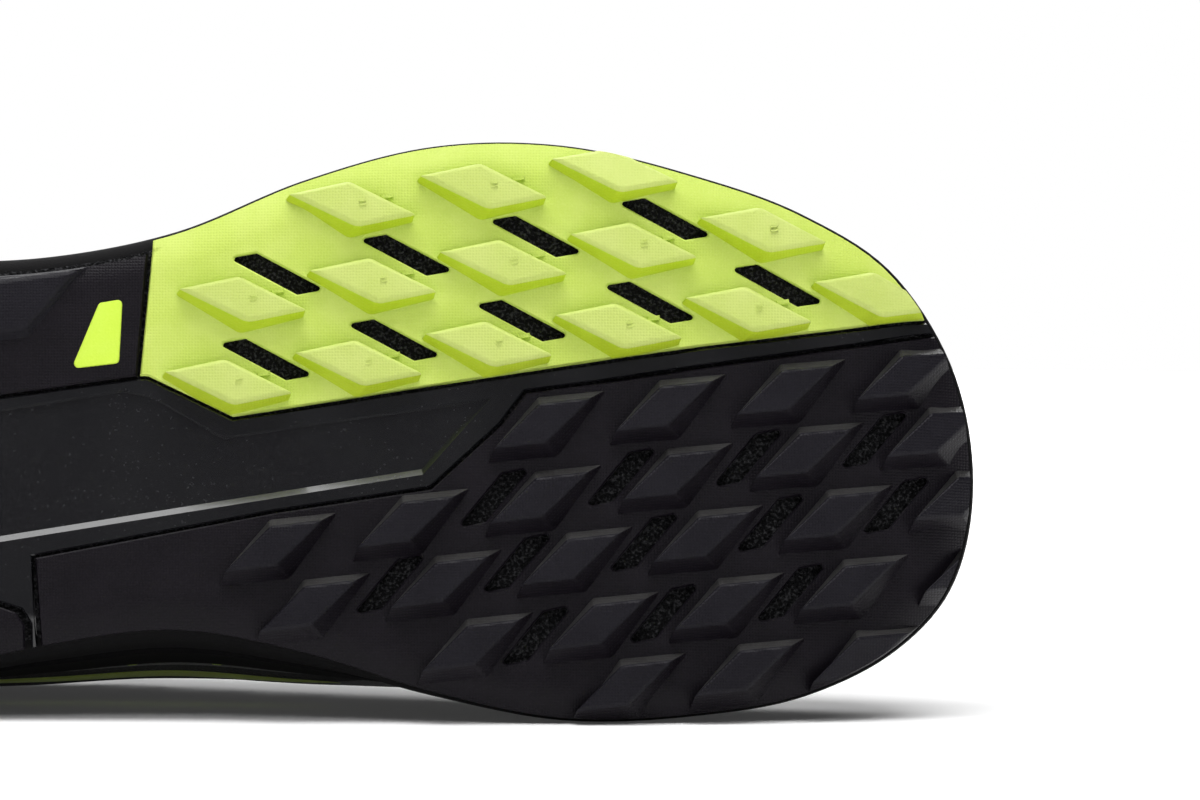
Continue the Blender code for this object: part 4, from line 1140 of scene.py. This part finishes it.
def shoeLace(settings):
    low, high = settings["sections"]
    turns = [sectionTurn(section) for section in np.linspace(high, low, settings["pairs"])]
    runs = [(turns[0], turns[0], 0.2)]
    for below, above in zip(turns, turns[1:]):
        runs += [(below, above, 0.0), (above, below, 0.45)]
    parts, cloths = [], []
    for start, end, over in runs:
        path = []
        for share in np.linspace(-0.03, 1.03, 37):
            dive = smoothStep(min(share + 0.03, 1.03 - share) - 0.035, 0.035)
            arch = settings["thick"] * (over + max(math.sin(math.pi * share), 0))
            height = -settings["dip"] + (settings["clear"] + settings["dip"] + arch) * float(dive)
            path.append(overThroat(start + (end - start) * share, 2 * share - 1, height, settings["depth"]))
        points, faces, cloth = tapeBand(path, np.tile([0.35, 0, 1], (len(path), 1)), settings["width"],
                                        settings["thick"])
        parts.append((points, faces, 0))
        cloths.append(cloth)
    points, faces, kinds = joinedParts(parts)
    cloth = np.concatenate(cloths)
    made = asPiece("shoeLace", points, faces, [finishes["lace"]], kinds, {"cloth": cloth}, sharp=50)
    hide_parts("lace")


tongueLook = {
    "sections": (7.0, 11.6), "stations": 40, "across": 25, "depth": 0.8, "thick": 4.5, "round": 1.6,
    "rise": 18, "rising": (0.17, 0.34, 0.5, 0.67, 0.84, 1.0), "under": 12, "going": (0.33, 0.67, 1.0),
    "tip": 0.74, "quilts": 6, "sink": 0.9,
}


def tongue(settings):
    tops, bottoms = [], []
    stations, depth, rounded = settings["stations"], settings["depth"], settings["round"]
    for i, section in enumerate(np.linspace(*settings["sections"], stations)):
        turn = sectionTurn(section)
        clear = wallAt(np.array([turn]), np.array([1.0]))[0] + 3 * shoe["gap"]
        channel = settings["sink"] * math.exp(-((i / stations * settings["quilts"]) % 1 - 0.5)**2 / 0.01)
        top, low = [], []
        for a in np.linspace(-1, 1, settings["across"]):
            edge = 1 - abs(a)**6
            top.append(overThroat(turn, a, -clear - channel * edge - (1 - edge) * rounded, depth))
            low.append(overThroat(turn, a, -clear - settings["thick"] + (1 - edge) * rounded, depth))
        tops.append(np.array(top))
        bottoms.append(np.array(low))
    for layer in (tops, bottoms):
        first, second, last, before = layer[0], layer[1], layer[-1], layer[-2]
        run = unit((first - second).mean(axis=0)) * settings["rise"]
        tip = first.mean(axis=0) + (first - first.mean(axis=0)) * settings["tip"] + run
        for share in settings["rising"]:
            layer.insert(0, first + (tip - first) * share)
        run = (last - before).mean(axis=0)
        run[2] *= 2
        run = unit(run) * settings["under"]
        layer += [last + run * share for share in settings["going"]]
    for layer in (tops, bottoms):  # thin out towards the free end
        layer[0] = layer[0] * 0.75 + (tops[0] + bottoms[0]) / 2 * 0.25
    rings = [np.concatenate([top, low[::-1]]) for top, low in zip(tops, bottoms)]
    count = len(rings[0])
    points = np.concatenate(rings)
    faces = ringFaces(len(rings), count)
    for start in (0, (len(rings) - 1) * count):
        faces += [(start + i, start + i + 1, start + count - 2 - i, start + count - 1 - i)
                  for i in range(count // 2 - 1)]
    cloth = np.column_stack([points[:, 0], points[:, 1], np.zeros(len(points))])
    made = asPiece("tonguePad", points, faces, [finishes["lining"]], marks={"cloth": cloth}, sharp=60)
    subdivided = made.modifiers.new("soft", "SUBSURF")
    subdivided.levels = subdivided.render_levels = 1
    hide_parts("tongue")


loopLook = {"span": (0.62, 0.93), "width": 11, "thick": 1.6, "reach": 9}


def pullLoop(settings):
    path, ups = [], []
    for share in np.linspace(0, 1, 49):
        v = np.array([settings["span"][0] + (settings["span"][1] - settings["span"][0]) * share])
        normal = shellNormal(np.array([0.0]), v)[0]
        reach = 0.2 + settings["thick"] / 2 + settings["reach"] * math.sin(math.pi * share)**0.7
        path.append(shell(np.array([0.0]), v)[0] + normal * reach)
        ups.append(normal)
    points, faces, cloth = tapeBand(path, ups, settings["width"], settings["thick"])
    made = asPiece("heelLoop", points, faces, [finishes["webbing"]], marks={"cloth": cloth}, sharp=50)
    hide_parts("heel_pull_loop")


eyelets(laceLook)
shoeLace(laceLook)
tongue(tongueLook)
pullLoop(loopLook)
print("eyelets, lace, tongue and loop")


# Studio

studio = {  # the aim in worn millimetres, everything else in metres and watts
    "aim": (227.5, -16.0, 0), "distance": 1.8, "elevation": 2.6, "shownWidth": 0.2321,
    "floor": 1.6, "rings": 24, "spokes": 72, "paper": (0.95, 0.95, 0.95), "dimPaper": (0.03, 0.03, 0.03),
    "glow": (0.3, 0.9), "horizon": (0.05, 0.1), "sky": (0.06, 0.06, 0.06),
}
lights = {  # place, aim, width, height, power
    "topSoftbox": ((0.05, -0.3, 1.3), (0.05, 0, 0.05), 1.4, 0.8, 20.5),
    "frontSoftbox": ((0.1, -1.25, 1.25), (0.05, 0, 0.05), 2.2, 0.5, 8),
    "backSoftbox": ((-0.2, 1.1, 1.2), (0.0, 0.1, 0.0), 1.6, 0.7, 14),
}


def camera(settings):
    rise = math.radians(settings["elevation"])
    forward = np.array([0, math.cos(rise), -math.sin(rise)])
    right = unit(layTurn[:, 0] - forward * (layTurn[:, 0] @ forward))
    up = np.cross(right, forward)
    made = bpy.data.objects.new("camera", bpy.data.cameras.new("camera"))
    made.data.sensor_width = 36
    made.data.lens = 36 * settings["distance"] / settings["shownWidth"]
    made.data.clip_end = 20
    spot = laid(np.array(settings["aim"])) - forward * settings["distance"]
    turn = Matrix([[*row] for row in np.stack([right, up, -forward], axis=1)]).to_4x4()
    made.matrix_world = Matrix.Translation(spot) @ turn
    bpy.context.scene.collection.objects.link(made)
    bpy.context.scene.camera = made


def paleFloor(settings):  # a round floor, lit near the shoe and glowing softly further out
    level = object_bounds()[0].z
    rings, spokes = np.linspace(0, settings["floor"], settings["rings"] + 1)[1:], settings["spokes"]
    points = [(0, 0, level)] + [
        (r * math.cos(2 * math.pi * i / spokes), r * math.sin(2 * math.pi * i / spokes), level)
        for r in rings for i in range(spokes)
    ]
    faces = [(0, 1 + i, 1 + (i + 1) % spokes) for i in range(spokes)]
    faces += [tuple(1 + v for v in face) for face in ringFaces(len(rings), spokes)]
    mesh = bpy.data.meshes.new("paleFloor")
    mesh.from_pydata(points, [], faces)
    made = bpy.data.objects.new("paleFloor", mesh)
    bpy.context.scene.collection.objects.link(made)
    paper = Finish("palePaper", Base_Color=settings["paper"], Roughness=0.9, Specular_IOR_Level=0.05,
                   Emission_Strength=1.0)
    place = paper.node("ShaderNodeTexCoord", {}, {}, out=3)
    away = paper.node("ShaderNodeVectorMath", {"operation": "LENGTH"}, {0: place}, out=1)
    glow = away.between(*settings["glow"])
    paper.set("Emission Color", paper.mix(glow, settings["dimPaper"], settings["paper"]))
    mesh.materials.append(paper.material)
    made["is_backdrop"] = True


def studioAir(settings):  # white along the horizon, dim above, so that gloss stays dark
    world = bpy.data.worlds.new("studioAir")
    world.use_nodes = True
    air = Nodes(world.node_tree)
    place = air.node("ShaderNodeTexCoord", {}, {}, out=0)
    _, _, height = air.parts(place)
    sky = air.mix(height.between(*settings["horizon"]), (1.0, 1.0, 1.0), settings["sky"])
    air.plug(world.node_tree.nodes["Background"].inputs["Color"], sky)
    bpy.context.scene.world = world
    bpy.context.scene.view_settings.view_transform = "Standard"


def softLight(name, place, aim, width, height, power):
    light = bpy.data.lights.new(name, "AREA")
    light.shape = "RECTANGLE"
    light.size, light.size_y = width, height
    light.energy = power
    made = bpy.data.objects.new(name, light)
    made.location = place
    made.rotation_euler = (Vector(aim) - Vector(place)).to_track_quat("-Z", "Y").to_euler()
    bpy.context.scene.collection.objects.link(made)


camera(studio)
paleFloor(studio)
studioAir(studio)
for name, values in lights.items():
    softLight(name, *values)
print("studio")
